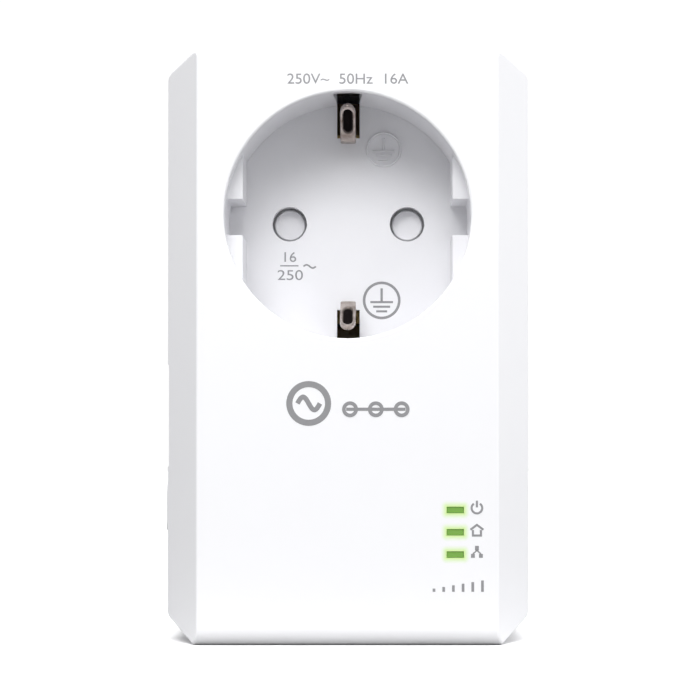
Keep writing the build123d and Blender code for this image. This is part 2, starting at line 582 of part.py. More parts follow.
# ---- earth bridge: strap behind the carrier that joins both clips to both plug strips ----
def earth_bridge():
    reach = STRIP_IN + STRIP_T / 2
    strap = block(-BRIDGE_HALF, BRIDGE_HALF, BRIDGE_FRONT, BRIDGE_BACK, -reach, reach)
    root_y = CARRIER_FRONT - BEAD_R / 2
    for side in (-1, 1):
        z = side * CLIP_ROOT
        lug = block(-CLIP_W / 2, CLIP_W / 2, root_y, BRIDGE_FRONT, z - STRIP_T / 2, z + STRIP_T / 2)
        strap = strap + lug - rod_x(root_y, z, BEAD_R + TIGHT, -CLIP_W, CLIP_W)
    return strap


# ---- plug body: hollow moulding that enters the wall outlet, flanged inside the rear cover ----
def plug_outline(shrink):
    full = Circle(PLUG_R - shrink)
    flat = Rectangle(2 * (PLUG_FLAT - shrink), 2 * PLUG_R) & full
    rib = Rectangle(2 * (PLUG_R - shrink), 2 * (PLUG_RIB - shrink)) & full if PLUG_RIB > shrink else None
    return flat + rib if rib else flat


def plug_body():
    body = slab(plug_outline(0), 0, PLUG_L)
    body = fillet(body.faces().sort_by(Axis.Y)[-1].edges(), PLUG_EDGE)
    body = body + rod_y(0, 0, PLUG_R, -WALL, 0)
    body = body + rod_y(0, 0, PLUG_R + FLANGE_OUT, FLANGE_FRONT, -WALL)
    for x, z in PLUG_SCREWS:
        body = body + rod_y(x, z, PLUG_EAR_R, FLANGE_FRONT, -WALL)
    hollow = slab(plug_outline(PLUG_WALL), FLANGE_FRONT - PAST, PLUG_L - PLUG_END)
    body = body - hollow
    for x in (-PIN_X, PIN_X):
        body = body + rod_y(x, 0, PIN_R + PIN_BOSS, FLANGE_FRONT, PLUG_L - PLUG_END + PAST)
    for x in (-PIN_X, PIN_X):
        body = body - rod_y(x, 0, NECK_R, FLANGE_FRONT - 1, PLUG_L + 1)
    for x, z in PLUG_SCREWS:
        body = body - rod_y(x, z, SMALL_R + SNUG, FLANGE_FRONT - 1, 0)
    for side in (-1, 1):
        out = side * (PLUG_R + 1)
        bed = side * (PLUG_R - BED_DROP)
        half = STRIP_W / 2 + SNUG
        body = body - block(-half, half, BED_FROM, BED_TO, min(bed, out), max(bed, out))
        inner = side * (STRIP_IN - STRIP_T)
        slit_end = BED_FROM + 1.5 * STRIP_T
        body = body - block(-half, half, BED_FROM, slit_end, min(inner, bed), max(inner, bed))
    return body


# ---- earth strips of the plug: bent sheet, outside at top and bottom, running in to the bridge ----
def plug_earth_strips():
    out = PLUG_R - BED_DROP + STRIP_T / 2
    bend = BED_FROM + 0.75 * STRIP_T
    path = [(BED_TO - 2 * SNUG, out), (bend, out), (bend, STRIP_IN), (BRIDGE_BACK, STRIP_IN)]
    strip = ribbon(path, STRIP_T, STRIP_W)
    return strip + mirror(strip, about=Plane.XY)


# ---- plug pins: turned brass, nickel plated, riveted through the power board to the contacts ----
def plug_pin(x):
    pin = rod_y(x, 0, PIN_R, PLUG_L + NECK_OUT, PLUG_L + PIN_L)
    pin = fillet(pin.faces().sort_by(Axis.Y)[-1].edges(), PIN_TIP_R)
    pin = pin + rod_y(x, 0, NECK_R, FLANGE_FRONT, PLUG_L + NECK_OUT)
    pin = pin + rod_y(x, 0, PIN_FLANGE_R, POWER_BACK, FLANGE_FRONT)
    pin = pin + rod_y(x, 0, RIVET_R, CONTACT_BASE, POWER_BACK)
    return pin + rod_y(x, 0, RIVET_HEAD_R, CONTACT_BASE - RIVET_HEAD_H, CONTACT_BASE)


# ---- light pipe: one clear moulding with three square guides behind the windows ----
def light_pipe():
    high = PEG_ROWS[0] + PIPE_END
    low = PEG_ROWS[1] - PIPE_END
    pipe = block(LED_X - PIPE_HALF, LED_X + PIPE_HALF, PLATE_BACK + TIGHT, PLATE_BACK + PIPE_T, low, high)
    for z in LED_ROWS:
        pipe = pipe + block(
            LED_X - LED_W / 2 + TIGHT, LED_X + LED_W / 2 - TIGHT, FRONT + PIPE_SINK, MAIN_FRONT - PIPE_GAP,
            z - LED_H / 2 + TIGHT, z + LED_H / 2 - TIGHT,
        )
    for z in PEG_ROWS:
        pipe = pipe - rod_y(LED_X, z, PEG_R + TIGHT, PLATE_BACK - 1, PLATE_BACK + 3)
    return pipe


def main_board():
    board = block(
        BOARD_GAP + WALL - SIDE, SIDE - WALL - BOARD_GAP, MAIN_FRONT, MAIN_BACK, FOOT + WALL + 2.4, MAIN_TOP
    )
    board = rounded(board, Axis.Y, 1.0)
    for x, z in CASE_SCREWS:
        board = board - rod_y(x, z, BOSS_R + 0.8, MAIN_FRONT - 1, MAIN_BACK + 1)
    for x, z in MAIN_POSTS:
        board = board - rod_y(x, z, SMALL_R + SNUG, MAIN_FRONT - 1, MAIN_BACK + 1)
    return board


def power_board():
    board = envelope(WALL + 2.0, POWER_FRONT, POWER_BACK)
    for x, z in CASE_SCREWS:
        board = board - rod_y(x, z, REAR_BOSS_R + 0.6, POWER_FRONT - 1, POWER_BACK + 1)
    for x, z in POWER_POSTS:
        board = board - rod_y(x, z, SMALL_R + SNUG, POWER_FRONT - 1, POWER_BACK + 1)
    for x in (-PIN_X, PIN_X):
        board = board - rod_y(x, 0, RIVET_R, POWER_FRONT - 1, POWER_BACK + 1)
    for side in (-1, 1):
        z = side * STRIP_IN
        board = board - block(
            -STRIP_W / 2 - 0.2, STRIP_W / 2 + 0.2, POWER_FRONT - 1, POWER_BACK + 1,
            z - STRIP_T / 2 - 0.2, z + STRIP_T / 2 + 0.2,
        )
    return board


# ---- Ethernet jack: metal shell, moulded insert and eight spring wires, opening to the left side ----
def jack_block(skin):
    return block(
        JACK_OUT + (skin if skin else 0), JACK_OUT + JACK_L - skin, JACK_FRONT + skin,
        JACK_FRONT + JACK_H - skin, JACK_Z - JACK_W / 2 + skin, JACK_Z + JACK_W / 2 - skin,
    )


def ethernet_shell():
    mouth = block(
        JACK_OUT - 1, JACK_OUT + 1, JACK_FRONT + 1.2, JACK_FRONT + JACK_H - 1.0,
        JACK_Z - PORT_W / 2 - 0.6, JACK_Z + PORT_W / 2 + 0.6,
    )
    return rounded(jack_block(0), Axis.X, 0.4) - jack_block(JACK_SKIN) - mouth


def ethernet_insert():
    core = jack_block(JACK_SKIN + 0.02)
    low = JACK_FRONT + PORT_UP
    for half, extra in ((PORT_W / 2, 0), LATCH_WIDE, LATCH_SLIM):
        core = core - block(
            JACK_OUT - PAST, JACK_OUT + PORT_L, low, low + PORT_H + extra, JACK_Z - half, JACK_Z + half
        )
    return core


def ethernet_contacts():
    low = JACK_FRONT + PORT_UP + WIRE_BITE
    path = [(JACK_OUT + 2.6, low), (JACK_OUT + 4.0, low + 0.1), (JACK_OUT + 11.9, low + 3.7)]
    upright = Plane(origin=(0, 0, 0), x_dir=(0, 0, 1), z_dir=(0, 1, 0))
    wire = upright * ribbon(path, WIRE_T, 0.45)
    wires = [Pos(0, 0, JACK_Z + (n - (WIRES - 1) / 2) * WIRE_PITCH) * wire for n in range(WIRES)]
    return Compound(children=wires)


# ---- pairing button, its flange and stem; it presses the plunger of the side-push switch ----
def pair_button():
    cap = rounded(
        block(
            -SIDE - BUTTON_PROUD, -SIDE + WALL + 0.1, BUTTON_Y - BUTTON_H / 2, BUTTON_Y + BUTTON_H / 2,
            BUTTON_Z - BUTTON_W / 2, BUTTON_Z + BUTTON_W / 2,
        ),
        Axis.X, BUTTON_H / 2 - 0.02,
    )
    cap = fillet(cap.faces().sort_by(Axis.X)[0].edges(), 0.3)
    flange_x = -SIDE + WALL + TIGHT
    flange = block(
        flange_x, flange_x + FLANGE_OVER,
        BUTTON_Y - BUTTON_H / 2 - FLANGE_LIP, BUTTON_Y + BUTTON_H / 2 + FLANGE_LIP,
        BUTTON_Z - BUTTON_W / 2 - FLANGE_OVER, BUTTON_Z + BUTTON_W / 2 + FLANGE_OVER,
    )
    return cap + flange + rod_x(BUTTON_Y, BUTTON_Z, STEM_R, flange_x, SWITCH_X - PLUNGER_OUT)


def switch_plunger():
    return block(
        SWITCH_X - PLUNGER_OUT, SWITCH_X + PLUNGER_IN, BUTTON_Y - PLUNGER_Y, BUTTON_Y + PLUNGER_Y,
        BUTTON_Z - PLUNGER_Z, BUTTON_Z + PLUNGER_Z,
    )


def tact_switch():
    body = block(
        SWITCH_X, SWITCH_X + SWITCH_L, MAIN_BACK, BUTTON_Y + SWITCH_OVER,
        BUTTON_Z - SWITCH_HALF, BUTTON_Z + SWITCH_HALF,
    )
    return body - block(
        SWITCH_X - 1, SWITCH_X + PLUNGER_IN + BUTTON_TRAVEL + 3 * SNUG,
        BUTTON_Y - PLUNGER_Y - SNUG, BUTTON_Y + PLUNGER_Y + SNUG,
        BUTTON_Z - PLUNGER_Z - SNUG, BUTTON_Z + PLUNGER_Z + SNUG,
    )


# ---- electronic components; each stands on one of the two boards ----
def on_main(x, z, w, h, tall):
    """A block on the back of the main board, centred on x and z."""
    return block(x - w / 2, x + w / 2, MAIN_BACK, MAIN_BACK + tall, z - h / 2, z + h / 2)


def on_power(x, z, w, h, tall):
    """A block on the front of the power board, centred on x and z."""
    return block(x - w / 2, x + w / 2, POWER_FRONT - tall, POWER_FRONT, z - h / 2, z + h / 2)


def can(x, z, r, tall):
    """An upright electrolytic capacitor with a rolled groove near the board and a scored top."""
    body = rod_y(x, z, r, POWER_FRONT - tall, POWER_FRONT)
    body = fillet(body.faces().sort_by(Axis.Y)[0].edges(), 0.5)
    near, far, deep = CAN_GROOVE
    groove = rod_y(x, z, r + PAST, POWER_FRONT - far, POWER_FRONT - near)
    groove = groove - rod_y(x, z, r - deep, POWER_FRONT - far, POWER_FRONT - near)
    return body - groove


def heat_sink():
    x, z = MAIN_CHIP[:2]
    half = SINK_SIDE / 2
    fin_y = SINK_FRONT + SINK_BASE
    sink = block(x - half, x + half, SINK_FRONT, fin_y, z - half, z + half)
    step = (SINK_SIDE - FIN_T) / (FINS - 1)
    for n in range(FINS):
        fin_x = x - half + n * step
        sink = sink + block(fin_x, fin_x + FIN_T, fin_y, SINK_FRONT + SINK_TALL, z - half, z + half)
    return sink


def flyback_transformer():
    cheek = on_power(*BOBBIN_CHEEK)
    bobbin = cheek + Pos(0, -WINDING[4] - BOBBIN_CHEEK[4], 0) * cheek
    wound = Pos(0, -BOBBIN_CHEEK[4], 0) * rounded(on_power(*WINDING), Axis.Y, 2.5)
    return on_power(*FLYBACK_CORE) + bobbin + wound


def common_mode_choke():
    x, z = CHOKE_BASE[:2]
    ring = Pos(x, POWER_FRONT - CHOKE_BASE[4] - CHOKE_RING[1], z) * Rot(90, 0, 0) * Torus(*CHOKE_RING)
    return on_power(*CHOKE_BASE) + ring


def varistor():
    x, z, r, thick = VARISTOR
    disc = Pos(x, POWER_FRONT - VARISTOR_UP, z) * Cylinder(r, thick)
    disc = fillet(disc.edges(), thick / 3)
    legs = on_power(x - LEG_AT, z, 0.7, 0.7, 4.0) + on_power(x + LEG_AT, z, 0.7, 0.7, 4.0)
    return disc + legs


def board_connector():
    x0, x1, z0, z1 = HEADER
    header = block(x0, x1, POWER_FRONT - HEADER_LOW, POWER_FRONT, z0, z1)
    header = header + block(x0, x1, MAIN_BACK, MAIN_BACK + HEADER_HIGH, z0, z1)
    x = (x0 + x1) / 2
    half = HEADER_PIN / 2
    for n in range(PINS):
        z = (z0 + z1) / 2 + (n - (PINS - 1) / 2) * HEADER_PITCH
        header = header + block(
            x - half, x + half, MAIN_BACK + HEADER_HIGH, POWER_FRONT - HEADER_LOW, z - half, z + half
        )
    return header


def small_components():
    w, h, tall = CHIP_PART
    chips = [on_main(-6.0 + (n % 3) * 2.6, -44.0 - (n // 3) * 1.9, w, h, tall) for n in range(9)]
    chips += [on_main(16.5, -26.5 - n * 1.7, w, h, tall) for n in range(6)]
    chips += [on_power(-14.0 + n * 2.2, FOOT + 5.2, w, h, tall) for n in range(6)]
    for z in LED_ROWS:
        chips.append(block(
            LED_X - 3.0 - w, LED_X - 3.0, MAIN_FRONT - tall, MAIN_FRONT, z - h / 2, z + h / 2
        ))
    return Compound(children=chips)


def status_leds():
    w, h = LAMP_HALF
    rows = [block(LED_X - w, LED_X + w, MAIN_FRONT - LAMP_T, MAIN_FRONT, z - h, z + h) for z in LED_ROWS]
    return Compound(children=rows)


nodes = {
    "front_cover": front_cover(),
    "rear_cover": rear_cover(),
    "case_screws": Compound(children=[
        screw(x, z, -SCREW_SINK, -1, SCREW_R, SCREW_L, SCREW_HEAD_R, SCREW_HEAD_H) for x, z in CASE_SCREWS
    ]),
    "socket_insert": socket_insert(),
    "insert_screws": Compound(children=[
        screw(x, z, PLATE_BACK + EAR_DROP + EAR_T, -1, SMALL_R, EAR_SCREW_L, SMALL_HEAD_R, SMALL_HEAD_H)
        for x, z in EARS
    ]),
    "shutter": shutter(),
    "shutter_spring": shutter_spring(),
    "contact_carrier": contact_carrier(),
    "carrier_screws": Compound(children=[
        screw(0, z, CARRIER_BACK, -1, SMALL_R, CARRIER_SCREW_L, SMALL_HEAD_R, SMALL_HEAD_H)
        for z in (-PIN_X, PIN_X)
    ]),
    "live_contact": sleeve_contact(-PIN_X),
    "neutral_contact": sleeve_contact(PIN_X),
    "earth_clip_upper": earth_clip(1),
    "earth_clip_lower": earth_clip(-1),
    "earth_bridge": earth_bridge(),
    "plug_body": plug_body(),
    "plug_screws": Compound(children=[
        screw(x, z, FLANGE_FRONT, 1, SMALL_R, PLUG_SCREW_L, SMALL_HEAD_R, SMALL_HEAD_H)
        for x, z in PLUG_SCREWS
    ]),
    "plug_earth_strips": plug_earth_strips(),
    "live_pin": plug_pin(-PIN_X),
    "neutral_pin": plug_pin(PIN_X),
    "main_board": main_board(),
    "board_screws": Compound(children=[
        screw(x, z, MAIN_BACK, -1, SMALL_R, BOARD_SCREW_L, SMALL_HEAD_R, SMALL_HEAD_H)
        for x, z in MAIN_POSTS
    ]),
    "power_board": power_board(),
    "power_screws": Compound(children=[
        screw(x, z, POWER_FRONT, 1, SMALL_R, POWER_SCREW_L, SMALL_HEAD_R, SMALL_HEAD_H)
        for x, z in POWER_POSTS
    ]),
    "light_pipe": light_pipe(),
    "status_leds": status_leds(),
    "ethernet_shell": ethernet_shell(),
    "ethernet_insert": ethernet_insert(),
    "ethernet_contacts": ethernet_contacts(),
    "pair_button": pair_button(),
    "switch_plunger": switch_plunger(),
    "tact_switch": tact_switch(),
    "main_chip": on_main(*MAIN_CHIP),
    "heat_sink": heat_sink(),
    "memory_chip": on_main(*MEMORY_CHIP),
    "ethernet_chip": on_main(*ETHERNET_CHIP),
    "ethernet_magnetics": on_main(*MAGNETICS),
    "crystal": rounded(on_main(*CRYSTAL), Axis.Y, 0.5),
    "coupling_transformer": on_main(*COUPLER),
    "flyback_transformer": flyback_transformer(),
    "bulk_capacitors": Compound(children=[can(x, z, *BULK_CAN) for x, z in BULK_PLACES]),
    "output_capacitors": Compound(children=[can(x, z, *OUTPUT_CAN) for x, z in OUTPUT_PLACES]),
    "x_capacitor": rounded(on_power(*X_CAPACITOR), Axis.Y, 0.6),
    "common_mode_choke": common_mode_choke(),
    "varistor": varistor(),
    "fuse": rounded(on_power(*FUSE), Axis.Y, 1.2),
    "bridge_rectifier": on_power(*RECTIFIER),
    "board_connector": board_connector(),
    "small_components": small_components(),
}

for name, shape in nodes.items():
    export_step(shape, os.path.join("parts", name + ".step"))
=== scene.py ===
import math

import bpy
import numpy as np
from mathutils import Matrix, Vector


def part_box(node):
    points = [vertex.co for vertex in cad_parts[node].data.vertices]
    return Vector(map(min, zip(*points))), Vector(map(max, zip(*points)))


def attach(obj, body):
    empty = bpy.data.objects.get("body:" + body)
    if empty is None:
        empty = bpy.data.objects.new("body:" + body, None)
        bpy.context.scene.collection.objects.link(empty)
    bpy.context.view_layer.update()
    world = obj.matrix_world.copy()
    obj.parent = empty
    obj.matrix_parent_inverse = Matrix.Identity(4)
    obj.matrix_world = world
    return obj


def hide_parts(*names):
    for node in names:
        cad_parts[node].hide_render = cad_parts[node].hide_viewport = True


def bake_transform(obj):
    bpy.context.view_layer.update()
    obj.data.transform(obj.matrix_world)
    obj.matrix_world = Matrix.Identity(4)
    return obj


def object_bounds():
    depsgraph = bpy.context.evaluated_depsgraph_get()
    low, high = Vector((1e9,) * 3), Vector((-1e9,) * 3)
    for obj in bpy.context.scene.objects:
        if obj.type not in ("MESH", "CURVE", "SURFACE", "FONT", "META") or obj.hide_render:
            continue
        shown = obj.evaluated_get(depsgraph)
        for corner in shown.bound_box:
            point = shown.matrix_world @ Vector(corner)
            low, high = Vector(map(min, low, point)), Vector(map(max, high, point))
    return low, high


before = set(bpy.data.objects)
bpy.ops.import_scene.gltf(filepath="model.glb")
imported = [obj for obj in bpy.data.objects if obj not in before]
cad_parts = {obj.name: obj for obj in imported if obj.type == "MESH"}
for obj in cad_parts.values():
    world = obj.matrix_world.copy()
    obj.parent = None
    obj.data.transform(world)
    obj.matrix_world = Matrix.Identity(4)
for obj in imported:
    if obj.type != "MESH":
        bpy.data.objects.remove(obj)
cad_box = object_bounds()
MM = 0.001


# ---------------------------------------------------------------------------------------------
# Front cover: one deep injection moulding in white ABS with a satin skin, fine spark texture and
# softly lit plastic round the three lamp windows, where the lamps shine through the wall.
# ---------------------------------------------------------------------------------------------
def put(tree, kind, feeds=None, **settings):
    """Adds one shader node. settings are its own properties; feeds gives inputs a value or a socket."""
    node = tree.nodes.new(kind)
    for key, value in settings.items():
        setattr(node, key, value)
    for socket, value in (feeds or {}).items():
        if isinstance(value, bpy.types.NodeSocket):
            tree.links.new(value, node.inputs[socket])
        else:
            node.inputs[socket].default_value = value
    return node


def maths(tree, operation, *values, clamp=False):
    """One arithmetic node on numbers or sockets; returns its result."""
    feeds = dict(enumerate(values))
    return put(tree, "ShaderNodeMath", feeds, operation=operation, use_clamp=clamp).outputs[0]


def vectors(tree, operation, *values):
    """One node of vector arithmetic; returns its vector."""
    return put(tree, "ShaderNodeVectorMath", dict(enumerate(values)), operation=operation).outputs[0]


def off_centre(tree, place, centre):
    """How far a place lies from a centre along each axis, without its sign."""
    return vectors(tree, "ABSOLUTE", vectors(tree, "SUBTRACT", place, centre))


def mixed(tree, share, first, second):
    """Mixes two colours: all of the first at a share of nothing, all of the second at one."""
    return put(tree, "ShaderNodeMix", {0: share, 6: first, 7: second}, data_type="RGBA").outputs[2]


def scaled(tree, value, start, end, low=0.0, high=1.0, curve="LINEAR"):
    """Carries a value between start and end over to low and high, and holds it beyond them."""
    feeds = {"Value": value, "From Min": start, "From Max": end, "To Min": low, "To Max": high}
    return put(tree, "ShaderNodeMapRange", feeds, interpolation_type=curve).outputs["Result"]


def summed(tree, sockets):
    """Adds up a row of values."""
    total = sockets[0]
    for socket in sockets[1:]:
        total = maths(tree, "ADD", total, socket)
    return total


def new_group(name, inputs, outputs):
    """An empty shader group with named sockets; returns the group, its input node and output node."""
    group = bpy.data.node_groups.new(name, "ShaderNodeTree")
    for label, kind, value in inputs:
        socket = group.interface.new_socket(label, in_out="INPUT", socket_type="NodeSocket" + kind)
        if value is not None:
            socket.default_value = value
    for label, kind in outputs:
        group.interface.new_socket(label, in_out="OUTPUT", socket_type="NodeSocket" + kind)
    return group, group.nodes.new("NodeGroupInput"), group.nodes.new("NodeGroupOutput")


def moulded_skin_group():
    """Skin of a moulding: a fine even grain, and a slow mottle that shifts colour and gloss."""
    group, given, out = new_group(
        "moulded_skin",
        [("Vector", "Vector", None), ("Colour", "Color", (1, 1, 1, 1)), ("Shade", "Color", (1, 1, 1, 1)),
         ("Grain", "Float", 6000.0), ("Mottle", "Float", 120.0), ("Gloss", "Float", 0.4),
         ("Gloss spread", "Float", 0.06)],
        [("Color", "Color"), ("Roughness", "Float"), ("Height", "Float")],
    )
    fine = put(group, "ShaderNodeTexNoise", {
        "Vector": given.outputs["Vector"], "Scale": given.outputs["Grain"], "Detail": 2.0, "Roughness": 0.6})
    slow = put(group, "ShaderNodeTexNoise", {
        "Vector": given.outputs["Vector"], "Scale": given.outputs["Mottle"], "Detail": 4.0})
    tint = mixed(group, slow.outputs["Fac"], given.outputs["Colour"], given.outputs["Shade"])
    sway = maths(group, "SUBTRACT", slow.outputs["Fac"], 0.5)
    gloss = maths(group, "MULTIPLY_ADD", sway, given.outputs["Gloss spread"], given.outputs["Gloss"])
    group.links.new(tint, out.inputs["Color"])
    group.links.new(gloss, out.inputs["Roughness"])
    group.links.new(fine.outputs["Fac"], out.inputs["Height"])
    return group


moulded_skin = moulded_skin_group()


def new_material(name):
    """A material with a Principled shader on its output; returns material, tree, shader and place."""
    material = bpy.data.materials.new(name)
    material.use_nodes = True
    tree = material.node_tree
    shader = tree.nodes["Principled BSDF"]
    where = tree.nodes.new("ShaderNodeTexCoord")
    return material, tree, shader, where.outputs["Object"]


def finished(name, group, depth, settings):
    """A material whose colour, roughness and bump come from one shader group; depth is the bump's height."""
    material, tree, shader, place = new_material(name)
    surface = put(tree, "ShaderNodeGroup", {"Vector": place, **settings}, node_tree=group)
    bump = put(tree, "ShaderNodeBump", {
        "Height": surface.outputs["Height"], "Distance": depth, "Strength": 1.0})
    tree.links.new(surface.outputs["Color"], shader.inputs["Base Color"])
    tree.links.new(surface.outputs["Roughness"], shader.inputs["Roughness"])
    tree.links.new(bump.outputs["Normal"], shader.inputs["Normal"])
    return material


def opened(material):
    """The node tree of a finished material and the shader in it."""
    return material.node_tree, material.node_tree.nodes["Principled BSDF"]


def place_in(tree):
    """The place on the object, as a finished material's tree already has it."""
    return next(node for node in tree.nodes if node.bl_idname == "ShaderNodeTexCoord").outputs["Object"]


def tinted(tree, shader, share, colour):
    """Turns a finished material's own colour towards another one by a share."""
    own = shader.inputs["Base Color"].links[0].from_socket
    tree.links.new(mixed(tree, share, own, colour), shader.inputs["Base Color"])


def moulded(name, colour, shade, gloss, grain=6000.0, depth=2e-6, mottle=120.0, spread=0.06):
    """Injection-moulded plastic: base and shade colours, roughness, grain per metre and grain depth."""
    return finished(name, moulded_skin, depth, {
        "Colour": (*colour, 1), "Shade": (*shade, 1), "Grain": grain, "Mottle": mottle, "Gloss": gloss,
        "Gloss spread": spread})


def dress(node, material):
    """Gives every material slot of a CAD node the same finish."""
    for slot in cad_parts[node].material_slots:
        slot.material = material


cover_lo, cover_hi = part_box("front_cover")
FACE_Y = cover_lo.y
LAMP_X = 16.7 * MM
LAMP_ROWS = [z * MM for z in (-45.8, -49.25, -52.7)]
LAMP_HALF_W = 1.335 * MM
LAMP_HALF_H = 0.5 * MM
GLOW_REACH = 0.95 * MM
GLOW_FALL = 1.2
GLOW_GREEN = (0.62, 0.86, 0.30, 1)
COVER_WHITE = (0.915, 0.915, 0.930)
COVER_SHADE = (0.900, 0.900, 0.918)


def lamp_glow_group():
    """One at a lamp window's edge, falling to nothing at the reach of the glow, only near the face."""
    group, given, out = new_group(
        "lamp_glow", [("Vector", "Vector", None), ("Reach", "Float", GLOW_REACH)], [("Glow", "Float")])
    glows = []
    for z in LAMP_ROWS:
        size = off_centre(group, given.outputs["Vector"], (LAMP_X, FACE_Y, z))
        beyond = vectors(group, "SUBTRACT", size, (LAMP_HALF_W, 0.0, LAMP_HALF_H))
        outside = vectors(group, "MAXIMUM", beyond, (0.0, 0.0, 0.0))
        away = put(group, "ShaderNodeVectorMath", {0: outside}, operation="LENGTH").outputs["Value"]
        share = maths(group, "DIVIDE", away, given.outputs["Reach"])
        near = maths(group, "SUBTRACT", 1.0, share, clamp=True)
        glows.append(maths(group, "POWER", near, GLOW_FALL))
    group.links.new(summed(group, glows), out.inputs["Glow"])
    return group


lamp_glow = lamp_glow_group()
cover_plastic = moulded("front_cover_white", COVER_WHITE, COVER_SHADE, 0.36, 5200.0, 1.5e-6)
tree, shader = opened(cover_plastic)
halo = put(tree, "ShaderNodeGroup", {"Vector": place_in(tree)}, node_tree=lamp_glow)
tinted(tree, shader, halo.outputs["Glow"], GLOW_GREEN)
shader.inputs["Coat Weight"].default_value = 0.15
shader.inputs["Coat Roughness"].default_value = 0.2
dress("front_cover", cover_plastic)


# ---------------------------------------------------------------------------------------------
# Rear cover: the shallow moulding against the wall, same white ABS with a coarser spark texture
# on its flat back, closed on the front cover by four screws.
# ---------------------------------------------------------------------------------------------
dress("rear_cover", moulded("rear_cover_white", (0.88, 0.88, 0.89), (0.85, 0.85, 0.86), 0.48, 3200.0, 5e-6))


# ---------------------------------------------------------------------------------------------
# Screws: zinc-plated steel with pan heads and cross recesses, turned and rolled, so the plating
# shows faint rings and small duller patches.
# ---------------------------------------------------------------------------------------------
def worked_metal_group():
    """Metal surface: noise drawn out along one direction as tool marks, with slow patches of tarnish."""
    group, given, out = new_group(
        "worked_metal",
        [("Vector", "Vector", None), ("Colour", "Color", (1, 1, 1, 1)), ("Tarnish", "Color", (1, 1, 1, 1)),
         ("Draw", "Vector", (4000, 4000, 400)), ("Patches", "Float", 300.0), ("Gloss", "Float", 0.3),
         ("Gloss spread", "Float", 0.2)],
        [("Color", "Color"), ("Roughness", "Float"), ("Height", "Float")],
    )
    drawn = vectors(group, "MULTIPLY", given.outputs["Vector"], given.outputs["Draw"])
    marks = put(group, "ShaderNodeTexNoise", {"Vector": drawn, "Scale": 1.0, "Detail": 3.0})
    patches = put(group, "ShaderNodeTexNoise", {
        "Vector": given.outputs["Vector"], "Scale": given.outputs["Patches"], "Detail": 5.0})
    dull = scaled(group, patches.outputs["Fac"], 0.45, 0.75)
    tint = mixed(group, dull, given.outputs["Colour"], given.outputs["Tarnish"])
    both = maths(group, "ADD", marks.outputs["Fac"], dull)
    gloss = maths(group, "MULTIPLY_ADD", both, given.outputs["Gloss spread"], given.outputs["Gloss"])
    group.links.new(tint, out.inputs["Color"])
    group.links.new(gloss, out.inputs["Roughness"])
    group.links.new(marks.outputs["Fac"], out.inputs["Height"])
    return group


worked_metal = worked_metal_group()


def metal(name, colour, tarnish, gloss, spread=0.12, draw=(4000, 400, 4000), patches=300.0, depth=2e-6):
    """Bare or plated metal: colours, roughness, how the tool marks run, and their depth."""
    material = finished(name, worked_metal, depth, {
        "Colour": (*colour, 1), "Tarnish": (*tarnish, 1), "Draw": draw, "Patches": patches, "Gloss": gloss,
        "Gloss spread": spread})
    opened(material)[1].inputs["Metallic"].default_value = 1.0
    return material


screw_steel = metal("screw_steel", (0.66, 0.67, 0.68), (0.45, 0.44, 0.42), 0.28)
for holder in ("case", "insert", "carrier", "plug", "board", "power"):
    dress(holder + "_screws", screw_steel)


# ---------------------------------------------------------------------------------------------
# Socket insert: the recessed cup, a separate moulding in hard white polycarbonate with a polished
# tool finish, screwed to the cover by four ears.
# ---------------------------------------------------------------------------------------------
INSERT_WHITE = (0.885, 0.885, 0.905)
INSERT_SHADE = (0.85, 0.85, 0.875)
dress("socket_insert", moulded("insert_white", INSERT_WHITE, INSERT_SHADE, 0.30, 5200.0, 1.2e-6))
CUP_DEEP = 17.5 * MM
FLOOR_Y = FACE_Y + CUP_DEEP


# ---------------------------------------------------------------------------------------------
# Raised earth sign on the floor of the cup: moulded with the insert, a ring round the earth bars,
# standing 0.29 mm proud with softened edges.
# ---------------------------------------------------------------------------------------------
def add_piece(name, points, faces, material, body, slot=None):
    """Makes a smooth mesh object from corner points and faces in one material.

    It rides on a body, where one is named. The slot argument, a material slot of the CAD model, is not used.
    """
    mesh = bpy.data.meshes.new(name)
    mesh.from_pydata(points.tolist(), [], faces)
    mesh.update()
    mesh.polygons.foreach_set("use_smooth", np.ones(len(mesh.polygons), dtype=bool))
    mesh.materials.append(material)
    piece = bpy.data.objects.new(name, mesh)
    bpy.context.scene.collection.objects.link(piece)
    if body:
        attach(piece, body)
    return piece


def loft(rings, joined=False):
    """Skins a row of equal rings of points: quads between neighbours, and a flat cap at each open end.

    rings has the shape (rows, points in a ring, 3); joined closes the row on itself, as on a torus.
    """
    rows, count = rings.shape[:2]
    index = np.arange(rows * count).reshape(rows, count)
    a = index if joined else index[:-1]
    b = np.roll(index, -1, axis=0) if joined else index[1:]
    quads = np.stack([a, b, np.roll(b, -1, axis=1), np.roll(a, -1, axis=1)], axis=-1).reshape(-1, 4)
    faces = quads.tolist()
    if not joined:
        faces.append(index[0].tolist())
        faces.append(index[-1][::-1].tolist())
    return rings.reshape(-1, 3), faces


def stack(parts):
    """Joins several point-and-face pairs into one."""
    points = np.concatenate([p for p, _ in parts])
    starts = np.cumsum([0] + [len(p) for p, _ in parts])
    faces = [[i + start for i in face] for (_, fs), start in zip(parts, starts) for face in fs]
    return points, faces


